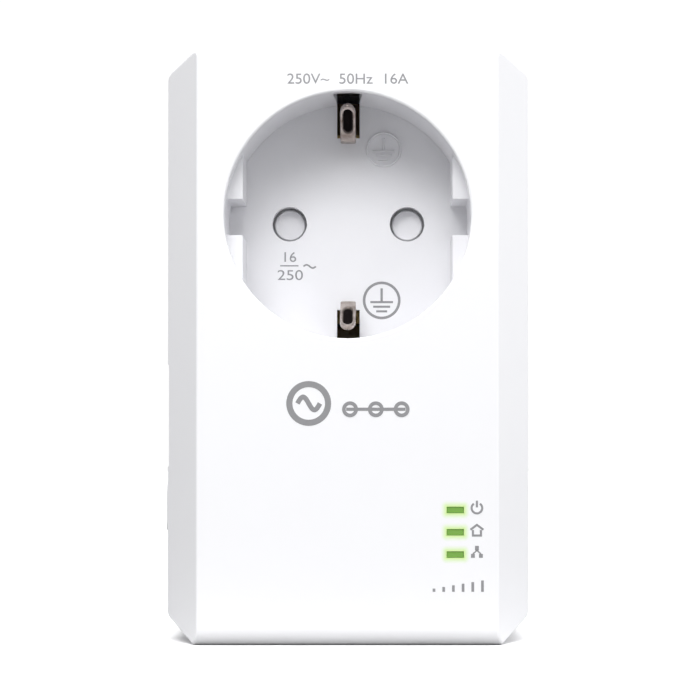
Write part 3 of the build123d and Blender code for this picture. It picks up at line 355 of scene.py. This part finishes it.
def stroke(path, width, y_base, height, ease=0.0, joined=False):
    """A printed or raised line on a plane facing the front.

    The section is a flat-topped bar: width across, height towards the front, with its top narrowed by
    ease on each side. It is carried along path, which gives X and Z, with mitred turns. The mitre's
    stretch is one over the cosine of half the turn, and that cosine is held at sharpest or more.
    """
    sharpest = 0.4
    path = np.asarray(path, dtype=float)
    ahead = np.roll(path, -1, axis=0) - path
    behind = path - np.roll(path, 1, axis=0)
    if not joined:
        ahead[-1] = behind[-1]
        behind[0] = ahead[0]
    ahead /= np.linalg.norm(ahead, axis=1)[:, None]
    behind /= np.linalg.norm(behind, axis=1)[:, None]
    mid = ahead + behind
    mid /= np.linalg.norm(mid, axis=1)[:, None]
    side = np.stack([-mid[:, 1], mid[:, 0]], axis=1)
    stretch = 1 / np.clip((mid * ahead).sum(axis=1), sharpest, 1)
    half = width / 2
    across = np.array([-half, -half + ease, half - ease, half])
    rise = np.array([0.0, height, height, 0.0])
    offset = side[:, None, :] * (across[None, :] * stretch[:, None])[:, :, None]
    flat = path[:, None, :] + offset
    rings = np.empty((len(path), 4, 3))
    rings[:, :, 0] = flat[:, :, 0]
    rings[:, :, 1] = y_base - rise
    rings[:, :, 2] = flat[:, :, 1]
    return loft(rings, joined)


def arc(x, z, r, start, end, steps=48):
    """Points on a circle in the X-Z plane, angles in degrees anticlockwise from +X as seen from the front."""
    turn = np.radians(np.linspace(start, end, steps))
    return np.stack([x + r * np.cos(turn), z + r * np.sin(turn)], axis=1)


def ring(x, z, r, steps=72):
    """A full circle of points without its repeated end."""
    return arc(x, z, r, 0, 360, steps + 1)[:-1]


def earth_sign(x, z, r, width, y_base, height, ease):
    """The protective-earth sign: a ring, an upright and three bars that shorten downwards.

    All its proportions are shares of the ring's outer radius, and of the line's width for the thinner
    upright and bars.
    """
    upright_top, upright_foot, upright_width = 0.64, 0.04, 0.9
    top_bar, bar_pitch, bar_width = 0.09, 0.245, 0.8
    bars = [stroke(ring(x, z, r - width / 2), width, y_base, height, ease, joined=True)]
    bars.append(stroke(
        [(x, z + r * upright_top), (x, z - r * upright_foot)], width * upright_width, y_base, height, ease))
    for row, reach in enumerate((0.60, 0.45, 0.29)):
        level = z - r * (top_bar + row * bar_pitch)
        bars.append(stroke(
            [(x - r * reach, level), (x + r * reach, level)], width * bar_width, y_base, height, ease))
    return stack(bars)


SINK = 0.01 * MM
raised_sign = earth_sign(
    x=5.7 * MM, z=12.1 * MM, r=2.9 * MM, width=0.40 * MM, y_base=FLOOR_Y + SINK, height=0.30 * MM,
    ease=0.10 * MM)
raised_white = moulded("raised_sign_white", INSERT_WHITE, INSERT_SHADE, 0.30, 5200.0, 1.2e-6)
add_piece("raised_earth_sign", *raised_sign, raised_white, "case", "insert_white")


# ---------------------------------------------------------------------------------------------
# Printed signs: grey pad-printing ink two hundredths of a millimetre thick. On the face a
# rating line, a plain device sign, linked circles, three lamp signs and rising bars; in the cup
# the rating and the earth sign.
# ---------------------------------------------------------------------------------------------
INK_T = 0.02 * MM
marking_ink = moulded(
    "marking_ink", (0.265, 0.265, 0.275), (0.30, 0.30, 0.31), 0.42, 9000.0, 1e-6, mottle=900.0, spread=0.1)


def lettering(text, x, z, height, width, y_base):
    """Outline lettering squeezed to a given height and width, centred on x and z, one ink layer thick."""
    curve = bpy.data.curves.new("lettering", "FONT")
    curve.body = text
    curve.extrude = 0.5
    holder = bpy.data.objects.new("lettering", curve)
    bpy.context.scene.collection.objects.link(holder)
    bpy.context.view_layer.update()
    mesh = bpy.data.meshes.new_from_object(holder.evaluated_get(bpy.context.evaluated_depsgraph_get()))
    bpy.data.objects.remove(holder)
    corners = np.empty(len(mesh.vertices) * 3)
    mesh.vertices.foreach_get("co", corners)
    corners = corners.reshape(-1, 3)
    faces = [list(p.vertices) for p in mesh.polygons]
    bpy.data.meshes.remove(mesh)
    low = corners.min(axis=0)
    high = corners.max(axis=0)
    share = (corners - low) / (high - low)
    points = np.empty_like(corners)
    points[:, 0] = x + (share[:, 0] - 0.5) * width
    points[:, 1] = y_base - share[:, 2] * INK_T
    points[:, 2] = z + (share[:, 1] - 0.5) * height
    return points, faces


def inked(path, width, joined=False, y_base=FACE_Y):
    """A line of printing ink, width millimetres wide, on the face or on another plane."""
    return stroke(path, width * MM, y_base, INK_T, joined=joined)


def trace(x, z, *points):
    """A path through points given in millimetres to the right of a place and above it."""
    return np.array([(x, z)]) + np.array(points) * MM


def one_wave(x, z, half_w, half_h, steps):
    """One full sine wave, with share running from minus one to one.

    X is x plus share times half_w, and Z is z less half_h times the sine of share times pi.
    """
    share = np.linspace(-1, 1, steps)
    return np.stack([x + share * half_w, z - np.sin(share * np.pi) * half_h], axis=1)


def printed(name, parts):
    """One printed sign made of several strokes and letterings, shaded flat."""
    points, faces = stack(parts)
    sign = add_piece(name, points, faces, marking_ink, "case").data
    sign.polygons.foreach_set("use_smooth", np.zeros(len(sign.polygons), dtype=bool))


RATING_DROP = 4.45 * MM
printed("rating_line", [lettering(
    "250V~  50Hz  16A", x=0.05 * MM, z=cover_hi.z - RATING_DROP, height=1.6 * MM, width=18.8 * MM,
    y_base=FACE_Y)])

MARK_X, MARK_Z, MARK_R = -6.0 * MM, -29.3 * MM, 3.0 * MM
printed("device_sign", [
    inked(ring(MARK_X, MARK_Z, MARK_R), 0.95, joined=True),
    inked(one_wave(MARK_X, MARK_Z, 1.75 * MM, 1.0 * MM, 40), 0.75),
])

LINK_Z = -30.2 * MM
HUB_X = [x * MM for x in (0.4, 4.4, 8.4)]
HUB_R = 0.95 * MM
hubs = [inked(ring(x, LINK_Z, HUB_R), 0.55, joined=True, y_base=FACE_Y - INK_T) for x in HUB_X]
printed("link_sign", [inked(trace(0, LINK_Z, (-0.2, 0), (9.0, 0)), 0.5)] + hubs)

ICON_X = 20.05 * MM
ICON_ROWS = [z * MM for z in (-45.5, -48.95, -52.35)]
ICON_LINE = 0.33
icon_z = ICON_ROWS[0]
printed("power_sign", [
    inked(arc(ICON_X, icon_z, 0.82 * MM, 125, 415), ICON_LINE),
    inked(trace(ICON_X, icon_z, (0, 0.1), (0, 1.15)), ICON_LINE),
])
icon_z = ICON_ROWS[1]
printed("home_sign", [
    inked(trace(ICON_X, icon_z, (-1.0, 0.1), (0, 0.85), (1.0, 0.1)), ICON_LINE),
    inked(trace(ICON_X, icon_z, (-0.62, 0.05), (-0.62, -0.8), (0.62, -0.8), (0.62, 0.05)), ICON_LINE),
])
icon_z = ICON_ROWS[2]
network = [inked(trace(ICON_X, icon_z, (0, 0.3), (0, 1.0)), 0.6)]
for foot in (-0.62, 0.62):
    network.append(inked(trace(ICON_X, icon_z, (0, 0.3), (foot, -0.25)), 0.22))
    network.append(inked(trace(ICON_X, icon_z, (foot, -0.85), (foot, -0.25)), 0.6))
printed("network_sign", network)

BARS_X, BARS_Z = 13.4 * MM, -58.45 * MM
BAR_PITCH, SHORTEST, LONGER = 1.5, 0.5, 0.25
printed("speed_bars", [
    inked(trace(BARS_X, BARS_Z, (n * BAR_PITCH, 0), (n * BAR_PITCH, SHORTEST + n * LONGER)), 0.42)
    for n in range(6)])

printed("cup_rating", [
    lettering("16", x=-9.39 * MM, z=-5.33 * MM, height=1.6 * MM, width=1.9 * MM, y_base=FLOOR_Y),
    lettering("250", x=-9.4 * MM, z=-8.25 * MM, height=1.62 * MM, width=4.1 * MM, y_base=FLOOR_Y),
    inked(trace(0, 0, (-11.03, -6.75), (-8.07, -6.75)), 0.2, y_base=FLOOR_Y),
    inked(one_wave(-6.26 * MM, -6.85 * MM, 1.0 * MM, 0.26 * MM, 30), 0.26, y_base=FLOOR_Y),
])
printed("cup_earth_sign", [earth_sign(
    x=5.38 * MM, z=-12.35 * MM, r=3.05 * MM, width=0.42 * MM, y_base=FLOOR_Y, height=INK_T, ease=0.0)])


# ---------------------------------------------------------------------------------------------
# Shutter and its spring: a white moulded rotor that blanks the pin holes, and a wire spring that
# turns it shut. The spring's straight leg sits in the rotor, its hook in the carrier behind, so the
# coil between them winds up as the rotor turns.
# ---------------------------------------------------------------------------------------------
dress("shutter", moulded("shutter_white", (0.88, 0.88, 0.90), (0.85, 0.85, 0.875), 0.35, 5200.0, 2e-6))
spring_steel = metal("spring_steel", (0.55, 0.55, 0.56), (0.40, 0.39, 0.38), 0.25)
spring_lo, spring_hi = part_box("shutter_spring")
WIRE_R = 0.16 * MM
COIL_R = spring_hi.z - WIRE_R
COIL_Y = spring_lo.y + WIRE_R
COIL_TURNS = 2
COIL_STEPS = 121
COIL_RISE = 5.2 * WIRE_R


def round_wire(path, outward):
    """Round wire: circles of the wire's radius carried along a path.

    Each circle is spanned by the outward direction and that direction's cross product with the tangent.
    """
    sides = 14
    ahead = np.gradient(path, axis=0)
    ahead /= np.linalg.norm(ahead, axis=1, keepdims=True)
    across = np.cross(outward, ahead)
    turn = np.linspace(0, 2 * np.pi, sides, endpoint=False)[None, :, None]
    return loft(path[:, None, :] + WIRE_R * (
        np.cos(turn) * outward[:, None, :] + np.sin(turn) * across[:, None, :]))


around = np.linspace(0, COIL_TURNS * 2 * np.pi, COIL_STEPS)
spoke = np.stack([np.cos(around), 0 * around, -np.sin(around)], axis=1)
coil_path = COIL_R * spoke
coil_path[:, 1] = COIL_Y + COIL_RISE * around / around[-1]
leg_path = np.array([[COIL_R, COIL_Y, 0.0], [spring_hi.x, COIL_Y, 0.0]])
hook_path = np.array([[COIL_R, COIL_Y + COIL_RISE, 0.0], [COIL_R, spring_hi.y, 0.0]])
spring = add_piece("shutter_spring_wire", *stack([
    round_wire(coil_path, spoke),
    round_wire(leg_path, np.array([[0.0, 0.0, 1.0]] * 2)),
    round_wire(hook_path, np.array([[1.0, 0.0, 0.0]] * 2)),
]), spring_steel, None, "spring_steel")
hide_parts("shutter_spring")
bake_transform(spring)


# ---------------------------------------------------------------------------------------------
# Contact carrier, sleeve contacts and earth bridge: glass-filled moulding that holds rolled brass
# sleeves, with a brass strap that joins the earth parts.
# ---------------------------------------------------------------------------------------------
dress("contact_carrier", moulded(
    "carrier_grey", (0.30, 0.31, 0.33), (0.26, 0.27, 0.29), 0.55, 2500.0, 8e-6, mottle=400.0))
contact_brass = metal("contact_brass", (0.80, 0.62, 0.30), (0.55, 0.38, 0.18), 0.25, 0.15, (400, 4000, 4000))
for conductor in ("live_contact", "neutral_contact", "earth_bridge"):
    dress(conductor, contact_brass)


# ---------------------------------------------------------------------------------------------
# Earth clips: stamped from nickel-plated bronze strip, bent to a nose that meets the plug's earth
# strip, with a rounded, dished tip. Each springs outwards from its root behind the cup floor.
# ---------------------------------------------------------------------------------------------
# The dish of each clip is painted near black: a painted dark reflection in the hollow of the tip, not a
# colour of the plated strip.
DISH_DARK_REFLECTION = (0.010, 0.008, 0.008, 1)
clip_metal = metal(
    "earth_spring", (0.47, 0.41, 0.375), (0.20, 0.15, 0.125), 0.20, 0.16, (3000, 500, 500), 420.0, 3e-6)
tree, shader = opened(clip_metal)
# Where the dish mask is one, the colour turns to the painted dark reflection and the metallic shine is
# switched off.
dish = put(tree, "ShaderNodeAttribute", attribute_name="dish", attribute_type="GEOMETRY").outputs["Fac"]
tinted(tree, shader, dish, DISH_DARK_REFLECTION)
tree.links.new(maths(tree, "SUBTRACT", 1.0, dish), shader.inputs["Metallic"])
shader.inputs["Specular IOR Level"].default_value = 0.0

STRIP_T = 0.8 * MM
ROOT_Z = 14.9 * MM
NOSE_FOOT = 2.3 * MM
NOSE_HEAD = 4.5 * MM
TIP_INSET = 0.22 * MM
ROOT_INSET = 0.55 * MM
BEND_REACH = 10
TIP_LONG = 2.1
CORNER = 0.3
DISH_FROM_TIP = 4.5 * MM
DISH_HALF_LONG = 2.0 * MM
DISH_HALF_WIDE = 0.92 * MM
DISH_EDGE = 0.28 * MM
DISH_DEEP = 0.34 * MM


def clip_strip(box_lo, box_hi, up):
    """Sprung strip: a rounded-rectangle section carried along a bent centreline in the Y-Z plane.

    The centreline joins root, nose and tip with its bends rounded by a moving average. Half the width
    is constant and closes at the tip as half an ellipse, TIP_LONG times as long as wide. The section's
    points are a cosine and a sine raised to a small power, which squares the corners. The inner face
    sinks near the tip as an oblong dish with ends of the same ellipse, and its depth follows a smooth
    step of the distance to the oblong's edge.
    """
    rows, fine, sides, blunt = 201, 4001, 96, 0.004
    half_w = (box_hi.x - box_lo.x) / 2
    out_z = max(abs(box_lo.z), abs(box_hi.z))
    in_z = min(abs(box_lo.z), abs(box_hi.z))
    tip_y = box_lo.y + TIP_INSET
    root_y = box_hi.y - ROOT_INSET
    nose_z = in_z + STRIP_T / 2
    knots_y = np.array([root_y, FLOOR_Y, FLOOR_Y - NOSE_FOOT, FLOOR_Y - NOSE_HEAD, tip_y])
    knots_z = np.array([ROOT_Z, ROOT_Z, nose_z, nose_z, out_z - STRIP_T / 2])
    along = np.concatenate([[0], np.cumsum(np.hypot(np.diff(knots_y), np.diff(knots_z)))])
    run = np.linspace(0, 1, rows)
    steps = run * along[-1]
    pitch = steps[1] - steps[0]
    longer = np.concatenate([
        steps[0] - pitch * np.arange(BEND_REACH, 0, -1), steps,
        steps[-1] + pitch * np.arange(1, BEND_REACH + 1)])
    past = np.clip(longer - along[-1], 0, None)
    short = np.clip(-longer, 0, None)
    end_slope = np.array([knots_y[-1] - knots_y[-2], knots_z[-1] - knots_z[-2]])
    end_slope /= np.hypot(*end_slope)
    root_slope = (knots_y[1] - knots_y[0]) / along[1]
    window = np.hanning(2 * BEND_REACH + 1)
    window /= window.sum()
    y = np.convolve(
        np.interp(longer, along, knots_y) + past * end_slope[0] - short * root_slope, window, "valid")
    z = np.convolve(np.interp(longer, along, knots_z) + past * end_slope[1], window, "valid")
    left = (1 - run) * along[-1]
    closing = np.clip(left / (TIP_LONG * half_w), 0, 1)
    wide = half_w * np.sqrt(np.clip(1 - (1 - closing) ** 2, blunt, 1))
    dy = np.gradient(y)
    dz = np.gradient(z)
    size = np.hypot(dy, dz)
    inward_y = dz / size
    inward_z = -dy / size
    flip = -np.sign(inward_z.mean())
    inward_y *= flip
    inward_z *= flip
    turn = np.linspace(0, 2 * np.pi, fine)
    across = np.sign(np.cos(turn)) * np.abs(np.cos(turn)) ** CORNER
    through = np.sign(np.sin(turn)) * np.abs(np.sin(turn)) ** CORNER
    lengths = np.hypot(np.diff(across) * half_w, np.diff(through) * STRIP_T / 2)
    around = np.concatenate([[0], np.cumsum(lengths)])
    even = np.linspace(0, around[-1], sides, endpoint=False)
    across = np.interp(even, around, across)
    through = np.interp(even, around, through)
    spot_x = across[None, :] * wide[:, None]
    from_spine = np.clip(np.abs(left - DISH_FROM_TIP) - DISH_HALF_LONG, 0, None)[:, None] / TIP_LONG
    edge = DISH_HALF_WIDE - np.hypot(spot_x, from_spine)
    sunk = np.clip(edge / DISH_EDGE, 0, 1)
    sunk = sunk * sunk * (3 - 2 * sunk) * (through > 0)[None, :]
    depth = through[None, :] * STRIP_T / 2 - DISH_DEEP * sunk
    rings = np.empty((rows, sides, 3))
    rings[:, :, 0] = spot_x
    rings[:, :, 1] = y[:, None] + depth * inward_y[:, None]
    rings[:, :, 2] = (z[:, None] + depth * inward_z[:, None]) * up
    if up > 0:
        rings = rings[:, ::-1]
        sunk = sunk[:, ::-1]
    return loft(rings), sunk.ravel()


for name, up in (("earth_clip_upper", 1), ("earth_clip_lower", -1)):
    lo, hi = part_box(name)
    shape, sunk = clip_strip(lo, hi, up)
    clip = add_piece(name + "_strip", *shape, clip_metal, name, "earth_spring")
    mask = clip.data.attributes.new("dish", "FLOAT", "POINT")
    mask.data.foreach_set("value", sunk.astype(np.float32))
    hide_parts(name)


# ---------------------------------------------------------------------------------------------
# Plug: a white moulded body with side flats and guide ribs, nickel-plated brass pins and bent
# earth strips at top and bottom.
# ---------------------------------------------------------------------------------------------
dress("plug_body", moulded("plug_white", (0.87, 0.87, 0.875), (0.84, 0.84, 0.85), 0.42, 3800.0, 3e-6))
plug_nickel = metal(
    "plug_nickel", (0.73, 0.71, 0.67), (0.58, 0.55, 0.50), 0.16, 0.12, (5000, 600, 5000), 250.0, 1.2e-6)
for conductor in ("live_pin", "neutral_pin", "plug_earth_strips"):
    dress(conductor, plug_nickel)


# ---------------------------------------------------------------------------------------------
# Light pipe and lamps: a clear acrylic moulding carries green light from three lamps on the board
# to the windows; each guide is brightest along its middle and darker at its edges.
# ---------------------------------------------------------------------------------------------
EDGE_FALL = 0.2 * MM
PIPE_DARK = (0.02, 0.05, 0.005, 1)
PIPE_LIT = (0.10, 0.22, 0.03, 1)


def lamp_core_group():
    """One in the middle of each lamp window, falling off to its edge, and nothing outside it."""
    group, given, out = new_group("lamp_core", [("Vector", "Vector", None)], [("Core", "Float")])
    cores = []
    for z in LAMP_ROWS:
        size = off_centre(group, given.outputs["Vector"], (LAMP_X, FACE_Y, z))
        inside = vectors(group, "SUBTRACT", (LAMP_HALF_W, 1.0, LAMP_HALF_H), size)
        room = put(group, "ShaderNodeSeparateXYZ", {0: inside})
        least = maths(group, "MINIMUM", room.outputs["X"], room.outputs["Z"])
        cores.append(maths(group, "DIVIDE", least, EDGE_FALL, clamp=True))
    group.links.new(summed(group, cores), out.inputs["Core"])
    return group


lamp_core = lamp_core_group()
pipe_acrylic = moulded("light_pipe_green", (0.13, 0.27, 0.05), (0.15, 0.30, 0.06), 0.25, 7000.0, 8e-7)
tree, shader = opened(pipe_acrylic)
core = put(tree, "ShaderNodeGroup", {"Vector": place_in(tree)}, node_tree=lamp_core)
tree.links.new(mixed(tree, core.outputs["Core"], PIPE_DARK, PIPE_LIT), shader.inputs["Emission Color"])
shader.inputs["Emission Strength"].default_value = 0.55
dress("light_pipe", pipe_acrylic)

led_lens = moulded("led_green", (0.35, 0.85, 0.25), (0.30, 0.80, 0.20), 0.3, 4000.0, 1e-6)
shader = opened(led_lens)[1]
shader.inputs["Emission Color"].default_value = (0.3, 0.9, 0.15, 1)
shader.inputs["Emission Strength"].default_value = 2.0
dress("status_leds", led_lens)


# ---------------------------------------------------------------------------------------------
# Ethernet jack: a tinned steel shell folded round a black insert, with eight gold-plated wires.
# ---------------------------------------------------------------------------------------------
dress("ethernet_shell", metal(
    "jack_steel", (0.68, 0.68, 0.69), (0.52, 0.51, 0.50), 0.24, draw=(600, 4000, 4000)))
dress("ethernet_insert", moulded(
    "jack_black", (0.025, 0.025, 0.027), (0.04, 0.04, 0.042), 0.45, 3500.0, 4e-6))
dress("ethernet_contacts", metal("gold_wire", (0.90, 0.70, 0.30), (0.75, 0.52, 0.20), 0.15))


# ---------------------------------------------------------------------------------------------
# Pairing button and its switch: white cap, black plunger and a small grey switch body.
# ---------------------------------------------------------------------------------------------
dress("pair_button", moulded("button_white", (0.88, 0.88, 0.89), (0.86, 0.86, 0.87), 0.32, 5200.0, 1.5e-6))
dress("switch_plunger", moulded("plunger_black", (0.03, 0.03, 0.032), (0.05, 0.05, 0.052), 0.4))
dress("tact_switch", moulded("switch_grey", (0.16, 0.16, 0.17), (0.13, 0.13, 0.14), 0.5))


# ---------------------------------------------------------------------------------------------
# Boards: the main board in green glass epoxy with fine tracks, the power board in brown paper
# laminate with broad tracks.
# ---------------------------------------------------------------------------------------------
def board_tracks_group():
    """Tracks under lacquer: square-sided cells round scattered points, each cell's rim raised as a track."""
    group, given, out = new_group(
        "board_tracks",
        [("Vector", "Vector", None), ("Lacquer", "Color", (0, 0.3, 0.1, 1)),
         ("Track", "Color", (0, 0.4, 0.2, 1)), ("Pitch", "Float", 900.0)],
        [("Color", "Color"), ("Height", "Float"), ("Roughness", "Float")],
    )
    cells = put(group, "ShaderNodeTexVoronoi", {
        "Vector": given.outputs["Vector"], "Scale": given.outputs["Pitch"]}, distance="CHEBYCHEV",
        feature="F1")
    edge = scaled(group, cells.outputs["Distance"], 0.32, 0.38)
    group.links.new(mixed(group, edge, given.outputs["Lacquer"], given.outputs["Track"]), out.inputs["Color"])
    group.links.new(edge, out.inputs["Height"])
    group.links.new(scaled(group, edge, 0.0, 1.0, 0.35, 0.22), out.inputs["Roughness"])
    return group


board_tracks = board_tracks_group()


def circuit_board(name, lacquer, track, pitch):
    """A lacquered circuit board with tracks at a given pitch per metre."""
    track_high = 3e-5
    return finished(name, board_tracks, track_high, {
        "Lacquer": (*lacquer, 1), "Track": (*track, 1), "Pitch": pitch})


dress("main_board", circuit_board("board_green", (0.02, 0.16, 0.06), (0.04, 0.28, 0.11), 700.0))
dress("power_board", circuit_board("board_brown", (0.42, 0.27, 0.12), (0.50, 0.36, 0.18), 260.0))


# ---------------------------------------------------------------------------------------------
# Chips, heat sink and small parts on the boards: moulded epoxy, anodised aluminium and ceramic.
# ---------------------------------------------------------------------------------------------
chip_black = moulded("chip_black", (0.035, 0.035, 0.038), (0.05, 0.05, 0.052), 0.55, 3000.0, 5e-6)
for package in ("main_chip", "memory_chip", "ethernet_chip", "ethernet_magnetics", "bridge_rectifier"):
    dress(package, chip_black)
dress("heat_sink", metal(
    "sink_aluminium", (0.62, 0.63, 0.65), (0.50, 0.51, 0.53), 0.38, 0.1, (4000, 4000, 300)))
dress("crystal", metal("crystal_can", (0.72, 0.72, 0.72), (0.60, 0.60, 0.58), 0.2))
dress("small_components", moulded(
    "smd_ceramic", (0.45, 0.35, 0.24), (0.30, 0.24, 0.18), 0.4, 4000.0, 3e-6, mottle=900.0))
dress("board_connector", moulded("connector_black", (0.04, 0.04, 0.043), (0.06, 0.06, 0.06), 0.5))


# ---------------------------------------------------------------------------------------------
# Mains parts: transformers, choke, capacitors, varistor and fuse standing on the power board.
# ---------------------------------------------------------------------------------------------
dress("coupling_transformer", moulded("ferrite", (0.06, 0.06, 0.065), (0.10, 0.10, 0.105), 0.6, 2500.0, 8e-6))
dress("flyback_transformer", moulded(
    "winding_tape", (0.80, 0.62, 0.06), (0.72, 0.54, 0.05), 0.35, 800.0, 1e-5))
dress("bulk_capacitors", moulded("can_sleeve_black", (0.04, 0.04, 0.07), (0.06, 0.06, 0.10), 0.22))
dress("output_capacitors", moulded("can_sleeve_green", (0.03, 0.13, 0.09), (0.04, 0.17, 0.12), 0.22))
dress("x_capacitor", moulded("xcap_yellow", (0.75, 0.60, 0.07), (0.70, 0.55, 0.06), 0.45, 2500.0, 6e-6))
dress("common_mode_choke", metal("copper_winding", (0.75, 0.33, 0.14), (0.55, 0.22, 0.09), 0.25))
dress("varistor", moulded("varistor_blue", (0.03, 0.10, 0.38), (0.04, 0.13, 0.45), 0.3, 1800.0, 1e-5))
dress("fuse", moulded("fuse_brown", (0.20, 0.09, 0.04), (0.16, 0.07, 0.03), 0.4))


# ---------------------------------------------------------------------------------------------
# Studio: a flat sheet of white paper under the adapter, white air that grows brighter to either
# side and overhead, one soft box high in front, and the camera square on to the face, a little
# below the socket.
# ---------------------------------------------------------------------------------------------
PAPER_LIFT = 0.3
UNEVEN = 0.005


def studio_white(name, level, far, near):
    """Matte white paper, faintly uneven; far and near are how much light it throws back on the object.

    Seen directly, it is as bright as its level and is lifted by a painted glow that begins a little way out,
    so the paper close to the adapter stays darker as painted contact shade.
    """
    material, tree, shader, place = new_material(name)
    size = off_centre(tree, place, (0.0, FACE_Y / 2, 0.0))
    beyond = vectors(tree, "SUBTRACT", size, (cad_box[1].x, -FACE_Y / 2, 1.0))
    parts = put(tree, "ShaderNodeSeparateXYZ", {0: beyond})
    away = maths(tree, "MAXIMUM", parts.outputs["X"], parts.outputs["Y"])
    bounce = scaled(tree, away, 3 * MM, 16 * MM, near, far)
    cloud = put(tree, "ShaderNodeTexNoise", {"Vector": place, "Scale": 3.0, "Detail": 1.0})
    tone = scaled(tree, cloud.outputs["Fac"], 0.0, 1.0, level - UNEVEN, level + UNEVEN)
    seen = put(tree, "ShaderNodeLightPath").outputs["Is Camera Ray"]
    held = put(tree, "ShaderNodeMix", {0: seen, 2: bounce, 3: tone})
    # Painted glow for camera rays: none within 2 mm of the adapter and full from 7 mm, so the paper round the
    # foot shows painted contact shade.
    clear = scaled(tree, away, 2 * MM, 7 * MM, 0.0, PAPER_LIFT)
    tree.links.new(held.outputs[0], shader.inputs["Base Color"])
    tree.links.new(maths(tree, "MULTIPLY", seen, clear), shader.inputs["Emission Strength"])
    shader.inputs["Emission Color"].default_value = (1, 1, 1, 1)
    shader.inputs["Roughness"].default_value = 0.9
    return material


floor_z = cad_box[0].z
floor_mesh = bpy.data.meshes.new("studio_floor")
SWEEP = 3.0
corners = ((-SWEEP, -SWEEP), (SWEEP, -SWEEP), (SWEEP, SWEEP), (-SWEEP, SWEEP))
floor_mesh.from_pydata([(x, y, floor_z) for x, y in corners], [], [(0, 1, 2, 3)])
floor_mesh.materials.append(studio_white("studio_paper", 0.92, 0.16, 0.42))
floor = bpy.data.objects.new("studio_floor", floor_mesh)
bpy.context.scene.collection.objects.link(floor)

world = bpy.data.worlds.new("studio_air")
world.use_nodes = True
bpy.context.scene.world = world
air = world.node_tree
background = air.nodes["Background"]
way = put(air, "ShaderNodeTexCoord")
parts = put(air, "ShaderNodeSeparateXYZ", {0: way.outputs["Generated"]})
right = scaled(air, parts.outputs["X"], 0.1, 0.9, 0.0, 1.12, "SMOOTHSTEP")
left = scaled(air, parts.outputs["X"], -0.2, -0.9, 0.42, 0.72, "SMOOTHSTEP")
both = maths(air, "ADD", left, right)
height = scaled(air, parts.outputs["Z"], 0.0, 0.7, 0.80, 1.2)
crown = scaled(air, parts.outputs["Z"], 0.80, 0.90, 0.0, 3.4, "SMOOTHSTEP")
air.links.new(maths(air, "MULTIPLY_ADD", both, height, crown), background.inputs["Strength"])
background.inputs["Color"].default_value = (0.985, 0.988, 1.0, 1)
seen = put(air, "ShaderNodeBackground", {"Color": (1, 1, 1, 1), "Strength": 1.05})
path = put(air, "ShaderNodeLightPath")
pick = put(air, "ShaderNodeMixShader", {
    0: path.outputs["Is Camera Ray"], 1: background.outputs[0], 2: seen.outputs[0]})
air.links.new(pick.outputs[0], air.nodes["World Output"].inputs["Surface"])


def soft_box(name, place, aim, width, height, power):
    """A rectangular soft light at a place, turned towards a point."""
    light = bpy.data.lights.new(name, "AREA")
    light.shape = "RECTANGLE"
    light.size = width
    light.size_y = height
    light.energy = power
    lamp = bpy.data.objects.new(name, light)
    lamp.location = place
    lamp.rotation_euler = (Vector(aim) - Vector(place)).to_track_quat("-Z", "Y").to_euler()
    bpy.context.scene.collection.objects.link(lamp)


middle = (0.0, 0.0, (cad_box[0].z + cad_box[1].z) / 2)
soft_box("overhead", (-0.06, -0.455, 0.30), middle, 0.32, 0.20, 1.70)

CAMERA_AWAY = 410 * MM
CAMERA_TILT = 91.06
camera = bpy.data.cameras.new("camera")
camera.sensor_width = 36.0
camera.lens = 136.1
camera.shift_x = -0.0286
camera.shift_y = 0.07
camera.clip_start = 0.05
camera.clip_end = 20.0
view = bpy.data.objects.new("camera", camera)
view.location = (3.5 * MM, FACE_Y - CAMERA_AWAY, -36.2 * MM)
view.rotation_euler = (math.radians(CAMERA_TILT), 0, 0)
bpy.context.scene.collection.objects.link(view)
bpy.context.scene.camera = view
bpy.context.scene.view_settings.view_transform = "Standard"
